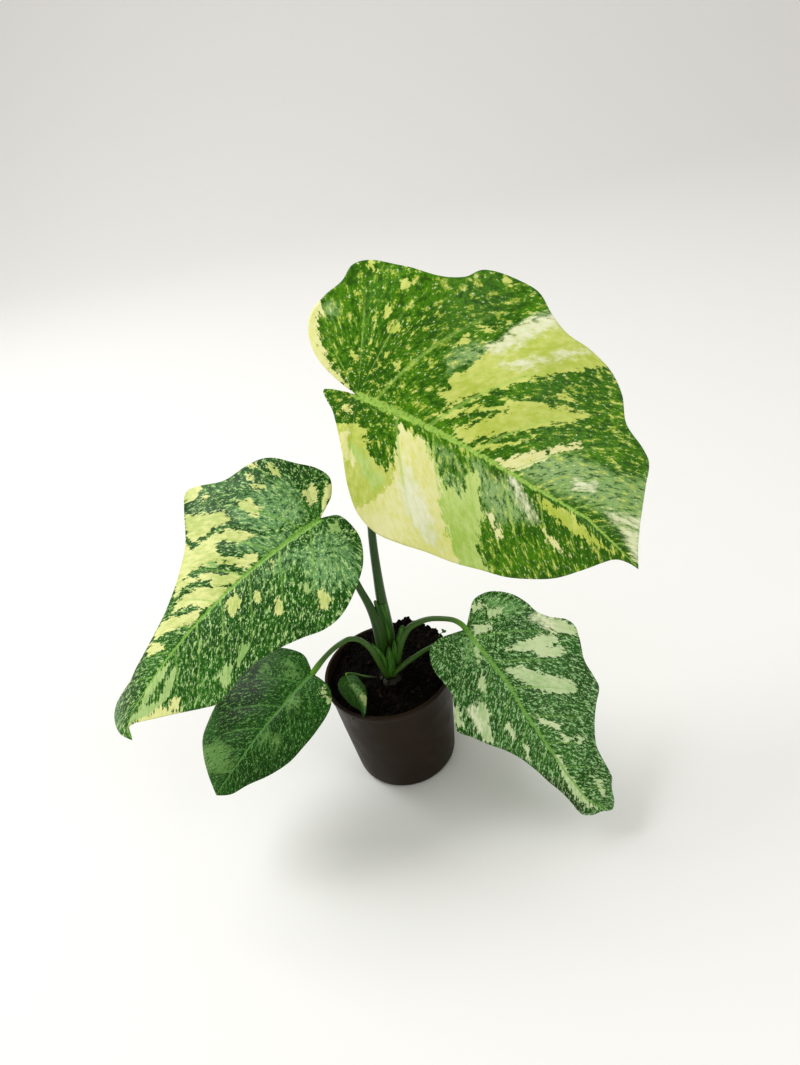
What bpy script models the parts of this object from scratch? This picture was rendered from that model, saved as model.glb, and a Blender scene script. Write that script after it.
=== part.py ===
"""Potted monstera: a variegated young plant in a thin plastic grower's pot.

Metres, +Z up. The origin is the centre of the pot's underside.
Sizes below are in millimetres and MM turns them into metres.
"""
import math

import bmesh
import bpy
from mathutils import Vector, geometry, noise

MM = 0.001
GAP = 0.3             # clearance between touching pieces

# Pot
POT_HEIGHT = 95.0
POT_RIM_RADIUS = 50.0
POT_BASE_RADIUS = 40.0
POT_WALL = 1.4
POT_FLOOR = 2.0
POT_LIP = 1.2         # how far the rim band stands proud of the wall
POT_LIP_DEPTH = 5.0
RIM_ROUND = 0.5       # bevel along the rim's edges
POT_EDGE = 4.0        # rounded bottom edge
POT_SIDES = 48
DRAIN_HOLES = 6
DRAIN_SIDES = 12
DRAIN_RADIUS = 4.5
DRAIN_CIRCLE = 24.0
DRAIN_TURN = 0.42     # share of a hole spacing by which the ring is turned

# Soil
SOIL_LEVEL = 87.0
SOIL_HEAP = 9.0       # extra height at the back, to the right
SOIL_LUMPS = 2.0
LUMP_SIZE = 9.0
SOIL_RINGS = 9
SOIL_SIDES = 40

# Crown
CROWN_CENTRE = (0.5, -2.2)
CROWN_RADIUS = 10.8
CROWN_TOP = 89.5
CROWN_FOOT = 65.0
CROWN_SIDES = 24
CROWN_EDGE = 2.0      # bevel round the top
CROWN_TAPER = 5.0     # narrowing at the foot

# Leaf blades
BLADE = 0.8           # thickness between the veins
RIB = 2.2             # thickness along the midrib
SMALL_RIB = 1.1       # the same in a blade shorter than SMALL_BLADE
SMALL_BLADE = 60.0
RIB_HALF_WIDTH = 3.0
EDGE_STEP = 7.5       # spacing of points along a margin
FIELD_STEP = 11.0     # spacing of points inside a blade

# Each blade is bent along its midrib. Angles are in degrees: heading is
# counted from +X, pitch is downwards, roll tips the left half up. Three
# values are at the base, the middle and the tip. Fold is the slope of a half
# at the midrib and curl is how much more it droops in each 100 mm outwards.
# An outline runs from the notch at the stalk to the tip as (along, out).
LEAVES = {
    "large": {
        "base": (22, -20, 334), "heading": (-27.4, -27.4), "pitch": (22.8, 46.6), "hook": 0,
        "length": 191.5, "roll": (44, 40, 34),
        "fold": ((-8, -2, 4), (0, 6, 14)), "curl": ((12, 18, 30), (55, 55, 50)),
        "wave": (4.0, 2.6, 0.6, 2.0), "half_width": 95, "tip": (193, 0),
        "left": [(-15, 4), (-30, 11), (-40, 21), (-44, 33), (-41, 46), (-35, 58), (-33, 70),
                 (-23, 77), (-4, 79), (14, 81), (26, 88), (33, 99), (46, 106), (62, 107),
                 (75, 97), (88, 92), (104, 96), (120, 97), (132, 88), (142, 71), (158, 65),
                 (166, 60), (171, 45), (179, 24), (186, 10)],
        "right": [(-10, 1), (-20, 4), (-16, 9), (-9, 15), (4, 34), (14, 51), (27, 66), (44, 73),
                  (62, 72), (80, 68), (100, 64), (118, 58), (133, 53), (146, 45), (158, 35),
                  (167, 22), (177, 6), (185, 1.5)],
    },
    "left": {
        "base": (-19, -15, 252), "heading": (-159.7, -159.7), "pitch": (11.7, 47.0), "hook": 0,
        "length": 191.4, "roll": (-32, -24, -14),
        "fold": ((-4, 0, 10), (-8, 0, 12)), "curl": ((25, 28, 35), (14, 26, 30)),
        "wave": (2.5, 2.2, 1.0, 2.6), "half_width": 65, "tip": (192, -9),
        "left": [(-5, 1), (-12, 5), (-15, 16), (-14, 28), (-6, 42), (8, 53), (24, 60), (40, 60),
                 (56, 55), (76, 50), (95, 47), (114, 47), (128, 46), (138, 40), (150, 31),
                 (164, 18), (178, 6), (186, 2), (190, 4)],
        "right": [(-6, 4), (-15, 9), (-21, 20), (-17, 31), (-8, 41), (5, 56), (18, 62), (34, 66),
                  (50, 79), (58, 81), (65, 70), (76, 51), (88, 41), (102, 33), (120, 26),
                  (142, 22), (158, 21), (172, 23), (183, 26), (192, 24), (197, 15), (197, 3)],
    },
    "small": {
        "base": (-54, -18, 123), "heading": (-147.5, -147.5), "pitch": (9.1, 43.0), "hook": 0,
        "length": 109.3, "roll": (-20, -18, -16),
        "fold": ((-6, 0, 6), (-6, 0, 6)), "curl": ((35, 40, 45), (30, 35, 40)),
        "wave": (1.2, 2.0, 0.0, 1.5), "half_width": 40, "tip": (110, 0),
        "left": [(-2, 8), (-2, 18), (4, 27), (14, 32), (28, 34), (42, 34), (58, 33), (74, 27),
                 (90, 17), (101, 11), (106, 6)],
        "right": [(-3, 6), (-5, 16), (0, 27), (8, 37), (20, 45), (38, 47), (56, 44), (74, 43),
                  (87, 40), (96, 29), (103, 16), (107, 7)],
    },
    "right": {
        "base": (62, -25, 142), "heading": (-52.8, -44.8), "pitch": (35.3, 51.3), "hook": 30,
        "length": 165.4, "roll": (12, 14, 18),
        "fold": ((-8, 0, 16), (-4, 4, 16)), "curl": ((20, 25, 40), (35, 38, 50)),
        "wave": (2.5, 2.5, 0.5, 2.2), "half_width": 58, "tip": (166, 0),
        "left": [(-6, 9), (-12, 18), (-11, 28), (-6, 36), (3, 43), (14, 47), (24, 49), (34, 56),
                 (43, 66), (52, 69), (61, 64), (74, 55), (88, 54), (98, 53), (104, 42),
                 (112, 30), (122, 22), (134, 17), (148, 14), (158, 8)],
        "right": [(-3, 8), (-7, 18), (-7, 27), (-2, 33), (8, 37), (18, 37), (28, 38), (38, 45),
                  (48, 52), (58, 47), (70, 41), (80, 35), (92, 30), (106, 27), (122, 24),
                  (138, 23), (154, 23), (162, 18), (164, 8)],
    },
    "tiny": {
        "base": (-31.8, -5.6, 102.3), "heading": (-74.7, -74.7), "pitch": (0.9, 12.9), "hook": 0,
        "length": 39.3, "roll": (0, 0, 0),
        "fold": ((-14, -8, 0), (-14, -8, 0)), "curl": ((60, 60, 60), (60, 60, 60)),
        "wave": (0.0, 1.0, 0.0, 0.0), "half_width": 12, "tip": (39.3, 0),
        "left": [(0.7, 1.8), (2.4, 4.1), (4.7, 6.2), (8.2, 7.4), (11.9, 7.8), (14.8, 8.4),
                 (17.7, 9.1), (21.2, 8.7), (24.9, 7.6), (29.5, 5.6), (33.3, 3.8), (36.8, 1.8)],
        "right": [(0.6, 2.8), (2.2, 5.3), (5.3, 8.2), (8.4, 9.4), (12.2, 10.0), (16.8, 9.6),
                  (21.6, 8.6), (27.7, 6.6), (32.2, 4.0), (36.6, 1.5)],
    },
}

# Stalks: points of the route with the radius there. A stalk that carries a
# blade arrives square to the blade's underside at its base, or from above
# through the notch between the two basal lobes, reach radii short of it.
STALKS = {
    "large": {"leaf": "large", "arrives": "below", "route": [
        (4.0, 3.2, 0, 3.7), (4.0, 3.2, 97, 3.7), (5.0, 3.2, 107, 3.8), (6.1, 3.2, 118, 3.9),
        (7.0, 3, 130, 4.0), (7.2, 2.3, 145, 4.0), (7.3, 1, 165, 3.8), (8.4, 0, 186, 3.3),
        (9.7, -1, 206, 3.0), (11, -2, 221, 2.8), (12.6, -3.5, 237, 2.7), (16, -6, 285, 2.6),
        (19, -10, 314, 2.6)]},
    "left": {"leaf": "left", "arrives": "below", "route": [
        (-2.4, -2.6, 0, 3.4), (-2.4, -2.6, 97, 3.5), (-1.6, -2.6, 112, 3.6),
        (-0.9, -2.6, 124, 3.7), (-0.4, -2.6, 136, 3.8), (-0.5, -2.6, 147, 3.6),
        (-1.5, -2.6, 157.5, 3.2), (-3.0, -3, 167, 2.9), (-5.4, -4, 179, 2.6),
        (-8.6, -5.5, 197, 2.5), (-13.5, -8.5, 224, 2.5)]},
    "small": {"leaf": "small", "arrives": "notch", "reach": 1.1, "route": [
        (-3, -8.8, 0, 2.1), (-3, -8.8, 95, 2.2), (-3.5, -9.4, 105, 2.4),
        (-5.3, -10.5, 117, 2.4), (-7.5, -12, 128, 2.3), (-11, -13, 137, 2.1),
        (-15.2, -14.5, 143.5, 1.9), (-20.9, -15.5, 146.6, 1.9), (-26.2, -16, 145.3, 1.9),
        (-31.6, -16.3, 142.6, 1.9), (-37.3, -16.3, 138.4, 1.9), (-43, -16, 133, 2.0)]},
    "right": {"leaf": "right", "arrives": "notch", "reach": 0.8, "route": [
        (6.8, -4.3, 0, 2.5), (6.8, -4.3, 95, 2.5), (8.2, -4.6, 103, 2.6),
        (10.9, -5, 113, 2.6), (14.6, -5.2, 123.6, 2.6), (18.9, -5.5, 132, 2.5),
        (24, -6.2, 138, 2.4), (31, -7.5, 142, 2.2), (38.5, -10, 145, 2.0),
        (46.5, -13.5, 146.3, 1.9), (54.5, -18.5, 147.3, 1.9)]},
    "spare": {"leaf": None, "arrives": None, "route": [
        (3.6, -9.0, 0, 2.1), (3.6, -9.0, 92.5, 2.1), (5.2, -10, 98, 2.2), (8.8, -10.6, 102.5, 2.2),
        (14.3, -10.2, 106.3, 2.1), (21.6, -8, 108.6, 1.9), (29.1, -4.5, 109.4, 1.7),
        (35, -2.5, 110, 1.5), (43, -1, 113, 1.4)]},
    "tiny": {"leaf": "tiny", "arrives": "below", "route": [
        (-7.2, -6.3, 0, 1.0), (-7.2, -6.3, 90.8, 1.0), (-9, -6.2, 92.8, 0.95),
        (-11.4, -6, 94.2, 0.9), (-16.2, -5.8, 96, 0.9), (-20.6, -5, 97.8, 0.9),
        (-26, -3.2, 99.4, 0.9), (-30.3, -2.6, 99.6, 0.9)]},
}

COLOURS = {
    "pot": ((0.040, 0.022, 0.015), 0.45),
    "soil": ((0.012, 0.008, 0.006), 0.95),
    "crown": ((0.075, 0.130, 0.035), 0.55),
    "petiole": ((0.045, 0.150, 0.020), 0.40),
    "leaf_large": ((0.250, 0.420, 0.035), 0.35),
    "leaf": ((0.060, 0.190, 0.040), 0.35),
}


def clear_scene():
    """Remove every object from the open file."""
    for obj in list(bpy.data.objects):
        bpy.data.objects.remove(obj, do_unlink=True)


def new_collection(name):
    """Add a collection to the scene."""
    collection = bpy.data.collections.new(name)
    bpy.context.scene.collection.children.link(collection)
    return collection


def material(name, key):
    """Plain Principled material in one of the plant's colours."""
    colour, roughness = COLOURS[key]
    mat = bpy.data.materials.new(name)
    mat.use_nodes = True
    shader = mat.node_tree.nodes["Principled BSDF"]
    shader.inputs["Base Color"].default_value = (*colour, 1.0)
    shader.inputs["Roughness"].default_value = roughness
    shader.inputs["Metallic"].default_value = 0.0
    return mat


def add_object(name, data, collection, key):
    """Link an object that holds data and give it its material."""
    obj = bpy.data.objects.new(name, data)
    collection.objects.link(obj)
    data.materials.append(material(name, key))
    return obj


def mesh_object(name, bm, collection, key):
    """Turn a bmesh into a smooth-shaded object."""
    mesh = bpy.data.meshes.new(name)
    bm.to_mesh(mesh)
    bm.free()
    mesh.shade_smooth()
    mesh.set_sharp_from_angle(angle=math.radians(40))
    return add_object(name, mesh, collection, key)


def turned_object(name, profile, steps, collection, key):
    """Turn a profile, given as (radius, height) in mm, about the Z axis."""
    bm = bmesh.new()
    points = [bm.verts.new((radius * MM, 0, height * MM)) for radius, height in profile]
    for first, second in zip(points, points[1:]):
        bm.edges.new((first, second))
    obj = mesh_object(name, bm, collection, key)
    screw = obj.modifiers.new("turn", "SCREW")
    screw.steps = steps
    screw.render_steps = steps
    screw.use_merge_vertices = True
    screw.merge_threshold = 0.00001
    screw.use_smooth_shade = True
    return obj


def cut(obj, cutter):
    """Cut the cutter's shape out of an object."""
    boolean = obj.modifiers.new("cut " + cutter.name, "BOOLEAN")
    boolean.operation = "DIFFERENCE"
    boolean.object = cutter
    boolean.solver = "EXACT"


def cutter_cylinder(name, radius, ends, place, sides, collection):
    """Upright cylinder between two heights that only cuts."""
    bottom, top = ends
    bm = bmesh.new()
    bmesh.ops.create_cone(bm, cap_ends=True, segments=sides, radius1=radius * MM,
                          radius2=radius * MM, depth=(top - bottom) * MM)
    mesh = bpy.data.meshes.new(name)
    bm.to_mesh(mesh)
    bm.free()
    obj = bpy.data.objects.new(name, mesh)
    obj.location = (place[0] * MM, place[1] * MM, (top + bottom) / 2 * MM)
    obj.hide_render = True
    obj.display_type = "WIRE"
    collection.objects.link(obj)
    return obj


def wall_radius(height):
    """Outside radius of the pot's wall at a height."""
    share = height / POT_HEIGHT
    return POT_BASE_RADIUS + (POT_RIM_RADIUS - POT_LIP - POT_BASE_RADIUS) * share


def make_pot(collection, cutters):
    """Thin tapered pot with a rim band, a rounded bottom edge and drain holes."""
    floor_radius = wall_radius(0) - POT_EDGE
    mouth_radius = wall_radius(POT_HEIGHT) - POT_WALL
    lip_foot = POT_HEIGHT - POT_LIP_DEPTH
    profile = [
        (0, POT_FLOOR),
        (floor_radius, POT_FLOOR),
        (wall_radius(POT_EDGE) - POT_WALL, POT_EDGE + 1),
        (mouth_radius, POT_HEIGHT - RIM_ROUND),
        (mouth_radius + RIM_ROUND, POT_HEIGHT),
        (POT_RIM_RADIUS - RIM_ROUND, POT_HEIGHT),
        (POT_RIM_RADIUS, POT_HEIGHT - RIM_ROUND),
        (wall_radius(lip_foot) + POT_LIP, lip_foot + RIM_ROUND),
        (wall_radius(lip_foot), lip_foot),
    ]
    for degrees in (0, 30, 60, 90):
        turn = math.radians(degrees)
        profile.append((floor_radius + POT_EDGE * math.cos(turn), POT_EDGE - POT_EDGE * math.sin(turn)))
    profile.append((0, 0))
    pot = turned_object("pot", profile, POT_SIDES, collection, "pot")
    for index in range(DRAIN_HOLES):
        angle = 2 * math.pi * (index + DRAIN_TURN) / DRAIN_HOLES
        place = (DRAIN_CIRCLE * math.cos(angle), DRAIN_CIRCLE * math.sin(angle))
        cut(pot, cutter_cylinder("drain_%d" % index, DRAIN_RADIUS, (-1, POT_FLOOR + 1), place,
                                 DRAIN_SIDES, cutters))


def soil_height(x, y):
    """Height of the lumpy soil, heaped towards the back on the right, in mm."""
    towards_heap = (0.45 * x + 0.9 * y) / wall_radius(SOIL_LEVEL)
    heap = min(max(towards_heap + 0.15, 0), 1) ** 2
    lumps = noise.noise(Vector((x / LUMP_SIZE, y / LUMP_SIZE, 3.7))) * SOIL_LUMPS
    return SOIL_LEVEL + SOIL_HEAP * heap + lumps


def ring_of_points(bm, radius, height):
    """Ring of vertices round the Z axis; height is a number or a function of x and y."""
    ring = []
    for side in range(SOIL_SIDES):
        angle = 2 * math.pi * side / SOIL_SIDES
        x, y = radius * math.cos(angle), radius * math.sin(angle)
        z = height(x, y) if callable(height) else height
        ring.append(bm.verts.new((x * MM, y * MM, z * MM)))
    return ring


def make_soil(collection, cutters):
    """Soil filling the pot, with a plain hole for the crown."""
    top_radius = wall_radius(SOIL_LEVEL) - POT_WALL - 3 * GAP
    bm = bmesh.new()
    rings = [ring_of_points(bm, top_radius * (k + 1) / SOIL_RINGS, soil_height)
             for k in range(SOIL_RINGS)]
    rings.append(ring_of_points(bm, wall_radius(POT_EDGE) - POT_WALL - 3 * GAP, POT_EDGE + 2))
    rings.append(ring_of_points(bm, wall_radius(0) - POT_EDGE - GAP, POT_FLOOR + GAP))
    middle = bm.verts.new((0, 0, soil_height(0, 0) * MM))
    for side in range(SOIL_SIDES):
        following = (side + 1) % SOIL_SIDES
        bm.faces.new((middle, rings[0][side], rings[0][following]))
        for inner, outer in zip(rings, rings[1:]):
            bm.faces.new((inner[side], outer[side], outer[following], inner[following]))
    bm.faces.new(reversed(rings[-1]))
    bmesh.ops.triangulate(bm, faces=bm.faces)
    soil = mesh_object("soil", bm, collection, "soil")
    cut(soil, cutter_cylinder("crown_hole", CROWN_RADIUS + GAP, (CROWN_FOOT - GAP, POT_HEIGHT + 20),
                              CROWN_CENTRE, CROWN_SIDES, cutters))


def make_crown(collection):
    """Short thick stem, standing in the soil, with its top just showing."""
    profile = [
        (0, CROWN_TOP),
        (CROWN_RADIUS - CROWN_EDGE, CROWN_TOP),
        (CROWN_RADIUS, CROWN_TOP - CROWN_EDGE),
        (CROWN_RADIUS, CROWN_FOOT + CROWN_TAPER),
        (CROWN_RADIUS - CROWN_TAPER, CROWN_FOOT),
        (0, CROWN_FOOT),
    ]
    crown = turned_object("crown", profile, CROWN_SIDES, collection, "crown")
    crown.location = (CROWN_CENTRE[0] * MM, CROWN_CENTRE[1] * MM, 0)


def between(values, share):
    """Smooth course through base, middle and tip values."""
    rest = 1 - share
    if len(values) == 2:
        return values[0] * rest + values[1] * share
    return values[0] * rest * rest + 2 * values[1] * share * rest + values[2] * share * share


class Blade:
    """Bent surface of one leaf blade. All lengths are in mm."""

    STEPS = 96

    def __init__(self, leaf):
        self.leaf = leaf
        self.length = leaf["length"]
        step = self.length / self.STEPS
        point = Vector(leaf["base"])
        self.frames = []
        for index in range(self.STEPS + 1):
            share = index / self.STEPS
            ahead = self.direction(share)
            if index:
                before = self.direction(share - 1 / self.STEPS)
                point = point + (ahead + before) * (step / 2)
            level = ahead.cross(Vector((0, 0, 1))).normalized()
            upright = level.cross(ahead)
            roll = math.radians(between(leaf["roll"], share))
            normal = upright * math.cos(roll) + level * math.sin(roll)
            sideways = level * math.cos(roll) - upright * math.sin(roll)
            self.frames.append((point.copy(), ahead, sideways, normal))

    def direction(self, share):
        """Direction of the midrib at a share of its length."""
        heading = math.radians(between(self.leaf["heading"], share))
        end_bend = self.leaf["hook"] * max((share - 0.8) / 0.2, 0) ** 2
        pitch = math.radians(between(self.leaf["pitch"], share) + end_bend)
        return Vector((math.cos(pitch) * math.cos(heading), math.cos(pitch) * math.sin(heading),
                       -math.sin(pitch)))

    def frame(self, along):
        """Point, direction, sideways and normal vectors on the midrib."""
        place = min(max(along / self.length, 0), 1) * self.STEPS
        index = min(int(place), self.STEPS - 1)
        share = place - index
        first, second = self.frames[index], self.frames[index + 1]
        return [a.lerp(b, share) for a, b in zip(first, second)]

    def point(self, along, out):
        """Point of the upper face; out is positive on the right half."""
        base, ahead, sideways, normal = self.frame(along)
        base = base + ahead * (min(along, 0) + max(along - self.length, 0))
        share = min(max(along / self.length, 0), 1)
        half = 1 if out >= 0 else 0
        width = abs(out)
        fold = math.radians(between(self.leaf["fold"][half], share))
        curl = math.radians(between(self.leaf["curl"][half], share)) / 100
        slope = fold + curl * width
        across = (math.sin(slope) - math.sin(fold)) / curl
        drop = (math.cos(slope) - math.cos(fold)) / curl
        height, count, left_phase, right_phase = self.leaf["wave"]
        phase = right_phase if half else left_phase
        reach = min(width / self.leaf["half_width"], 1.3) ** 2
        drop += height * reach * math.sin(2 * math.pi * count * along / self.length + phase)
        return base + sideways * math.copysign(across, out) + normal * drop


def smooth_course(points, step):
    """Points about a step apart on a Catmull-Rom curve through the given ones."""
    padded = [points[0] * 2 - points[1], *points, points[-1] * 2 - points[-2]]
    course = [points[0]]
    for index in range(len(points) - 1):
        before, start, end, after = padded[index:index + 4]
        pieces = max(1, round((end - start).length / step))
        for piece in range(1, pieces + 1):
            t = piece / pieces
            course.append(0.5 * ((2 * start) + (end - before) * t
                                 + (2 * before - 5 * start + 4 * end - after) * t ** 2
                                 + (3 * start - before - 3 * end + after) * t ** 3))
    return course


def leaf_outline(leaf):
    """Closed flat outline as (out, along), counter-clockwise seen from above."""
    tip = Vector((leaf["tip"][1], leaf["tip"][0]))
    start = Vector((0, 0))
    right = [start] + [Vector((out, along)) for along, out in leaf["right"]] + [tip]
    left = [start] + [Vector((-out, along)) for along, out in leaf["left"]] + [tip]
    step = min(EDGE_STEP, leaf["length"] / 9)
    right_course = smooth_course(right, step)
    left_course = smooth_course(left, step)
    return right_course, left_course


def inside(point, outline):
    """Whether a flat point lies inside a closed outline."""
    hit = False
    for first, second in zip(outline, outline[1:] + outline[:1]):
        if (first.y > point.y) != (second.y > point.y):
            crossing = first.x + (point.y - first.y) * (second.x - first.x) / (second.y - first.y)
            if point.x < crossing:
                hit = not hit
    return hit


def clearance(point, outline):
    """Shortest distance from a flat point to an outline."""
    nearest = 1e9
    for first, second in zip(outline, outline[1:] + outline[:1]):
        foot, share = geometry.intersect_point_line(point.to_3d(), first.to_3d(), second.to_3d())
        share = min(max(share, 0), 1)
        nearest = min(nearest, (point - first.lerp(second, share)).length)
    return nearest


def leaf_points(leaf, outline):
    """Rows of flat points inside a blade, off its edges: first the rib, then the field."""
    field_step = min(FIELD_STEP, leaf["length"] / 7)
    rib_half = min(RIB_HALF_WIDTH, leaf["half_width"] / 8)
    rib_end = leaf["length"] * 0.93
    rib_count = round(rib_end / field_step)
    rib = [Vector((0, rib_end * k / rib_count)) for k in range(1, rib_count + 1)]
    beside = [Vector((side * rib_half * (1 - 0.5 * p.y / leaf["length"]), p.y))
              for p in rib for side in (-1, 1)]
    beside = [p for p in beside if inside(p, outline) and clearance(p, outline) > 1.5]
    field = []
    row = 0
    along = -0.3 * leaf["length"]
    while along < leaf["length"]:
        for column in range(-14, 15):
            out = (column + 0.5 * (row % 2)) * field_step
            point = Vector((out, along))
            off_rib = abs(out) > rib_half + 0.35 * field_step or along < 0
            if off_rib and inside(point, outline) and clearance(point, outline) > 0.4 * field_step:
                field.append(point)
        along += field_step * math.sqrt(3) / 2
        row += 1
    return rib, beside, field


def rib_thickness(leaf):
    """Thickness of a blade at the base of its midrib."""
    return RIB if leaf["length"] > SMALL_BLADE else SMALL_RIB


def make_leaf(name, leaf, collection, key):
    """Blade cut to its outline, bent along its midrib and thickened downwards."""
    right, left = leaf_outline(leaf)
    outline = right + left[-2:0:-1]
    rib, beside, field = leaf_points(leaf, outline)
    flat = outline + rib + beside + field
    count = len(outline)
    edges = [(k, (k + 1) % count) for k in range(count)]
    rib_chain = [0] + list(range(count, count + len(rib)))
    edges += list(zip(rib_chain, rib_chain[1:]))
    points, _, faces, *_ = geometry.delaunay_2d_cdt(flat, edges, [list(range(count))], 1, 1e-4)
    blade = Blade(leaf)
    bm = bmesh.new()
    verts = [bm.verts.new(blade.point(p.y, p.x) * MM) for p in points]
    for face in faces:
        bm.faces.new([verts[k] for k in face])
    bmesh.ops.triangulate(bm, faces=bm.faces)
    obj = mesh_object(name, bm, collection, key)
    group = obj.vertex_groups.new(name="midrib")
    for index, p in enumerate(points):
        if abs(p.x) < 0.01 and -0.01 <= p.y <= leaf["length"] * 0.94:
            group.add([index], 1 - 0.75 * max(p.y, 0) / leaf["length"], "REPLACE")
    rib_depth = rib_thickness(leaf)
    solid = obj.modifiers.new("thickness", "SOLIDIFY")
    solid.thickness = rib_depth * MM
    solid.offset = -1
    solid.vertex_group = group.name
    solid.thickness_vertex_group = BLADE / rib_depth
    return obj


def make_stalk(name, stalk, collection):
    """Round tapering stalk on the crown, ending square under its blade."""
    floor = CROWN_TOP + GAP
    route = [Vector((x, y, floor if z == 0 else z, radius)) for x, y, z, radius in stalk["route"]]
    radius = route[-1][3]
    if stalk["leaf"]:
        leaf = LEAVES[stalk["leaf"]]
        base, ahead, _, normal = Blade(leaf).frame(0)
        rib_depth = rib_thickness(leaf)
        if stalk["arrives"] == "below":
            ends = [base - normal * (3.2 * radius + rib_depth), base - normal * (rib_depth + GAP)]
        else:
            ends = [base - ahead * (stalk["reach"] * radius) - normal * (rib_depth / 2)]
        for end in ends:
            route.append(end.to_4d())
            route[-1][3] = radius
    step = min(8.0, 3.5 * route[-1][3])
    course = smooth_course(route, step)
    curve = bpy.data.curves.new(name, "CURVE")
    curve.dimensions = "3D"
    curve.bevel_depth = MM
    curve.bevel_resolution = 2
    curve.use_fill_caps = True
    spline = curve.splines.new("POLY")
    spline.points.add(len(course) - 1)
    for point, place in zip(spline.points, course):
        point.co = (place[0] * MM, place[1] * MM, place[2] * MM, 1)
        point.radius = place[3]
    return add_object(name, curve, collection, "petiole")


def main():
    """Build the plant and its pot."""
    clear_scene()
    plant = new_collection("potted_monstera")
    cutters = new_collection("cutters")
    make_pot(plant, cutters)
    make_soil(plant, cutters)
    make_crown(plant)
    for name, stalk in STALKS.items():
        make_stalk("petiole_" + name, stalk, plant)
    for name, leaf in LEAVES.items():
        make_leaf("leaf_" + name, leaf, plant, "leaf_large" if name == "large" else "leaf")


main()
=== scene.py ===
"""Variegated monstera in a grower's pot: the finished look, built on the part's own solids."""

import math

import bmesh
import bpy
import numpy as np
from mathutils import Matrix, Vector, noise


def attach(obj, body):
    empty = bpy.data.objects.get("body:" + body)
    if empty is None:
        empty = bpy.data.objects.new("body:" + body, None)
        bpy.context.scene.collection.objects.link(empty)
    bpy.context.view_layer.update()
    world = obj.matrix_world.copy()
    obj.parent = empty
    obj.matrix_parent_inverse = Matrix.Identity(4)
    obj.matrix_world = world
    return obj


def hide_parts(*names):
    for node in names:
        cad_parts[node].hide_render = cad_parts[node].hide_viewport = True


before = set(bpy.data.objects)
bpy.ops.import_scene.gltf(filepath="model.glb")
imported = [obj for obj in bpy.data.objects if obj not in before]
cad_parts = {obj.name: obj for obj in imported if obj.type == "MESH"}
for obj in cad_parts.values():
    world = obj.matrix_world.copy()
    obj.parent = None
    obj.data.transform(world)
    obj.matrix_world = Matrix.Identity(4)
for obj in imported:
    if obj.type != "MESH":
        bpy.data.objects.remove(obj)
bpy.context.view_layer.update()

# Pot
# A thin grower's pot, vacuum formed or injection moulded from brown polypropylene.
# It is one piece: a tapered wall with a plain band for a rim and holes in its floor.
MM = 0.001
POT_TURNS = 160
POT_PROFILE = [
    (0, 2), (33, 2), (36.6, 2.5), (38.6, 4.2), (39.2, 6), (42.6, 38), (46.9, 88), (47.35, 94.4),
    (47.7, 94.9), (48.5, 95), (49.4, 95), (49.85, 94.7), (50, 94.2), (49.75, 90.8), (49.5, 90.35),
    (48.9, 90.2), (48.45, 89.9), (48.3, 89.2), (45.2, 55), (41.6, 17), (40.4, 5), (40.05, 3.3),
    (39, 1.4), (37.6, 0.4), (36, 0), (32, 0), (30.5, 0.6), (0, 0.6)]
DRAIN_HOLES = 6


def srgb(text):
    """Linear colour of an sRGB hex value."""
    parts = [int(text[k:k + 2], 16) / 255 for k in (1, 3, 5)]
    linear = [c / 12.92 if c <= 0.04045 else ((c + 0.055) / 1.055) ** 2.4 for c in parts]
    return (*linear, 1.0)


def node(tree, kind, settings=None, inputs=None):
    """Adds one node with its settings, and its sockets' values or links."""
    made = tree.nodes.new(kind)
    for name, value in (settings or {}).items():
        setattr(made, name, value)
    for key, value in (inputs or {}).items():
        if isinstance(value, bpy.types.NodeSocket):
            tree.links.new(value, made.inputs[key])
        else:
            made.inputs[key].default_value = value
    return made


def start_material(name, roughness, ior=1.5):
    """Material with one Principled shader; returns it with its tree and shader."""
    material = bpy.data.materials.new(name)
    material.use_nodes = True
    tree = material.node_tree
    shader = tree.nodes["Principled BSDF"]
    shader.inputs["Roughness"].default_value = roughness
    shader.inputs["IOR"].default_value = ior
    return material, tree, shader


def new_object(name, mesh, material):
    """Links a mesh to the scene under its material."""
    piece = bpy.data.objects.new(name, mesh)
    bpy.context.scene.collection.objects.link(piece)
    mesh.materials.clear()
    mesh.materials.append(material)
    return piece


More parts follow.
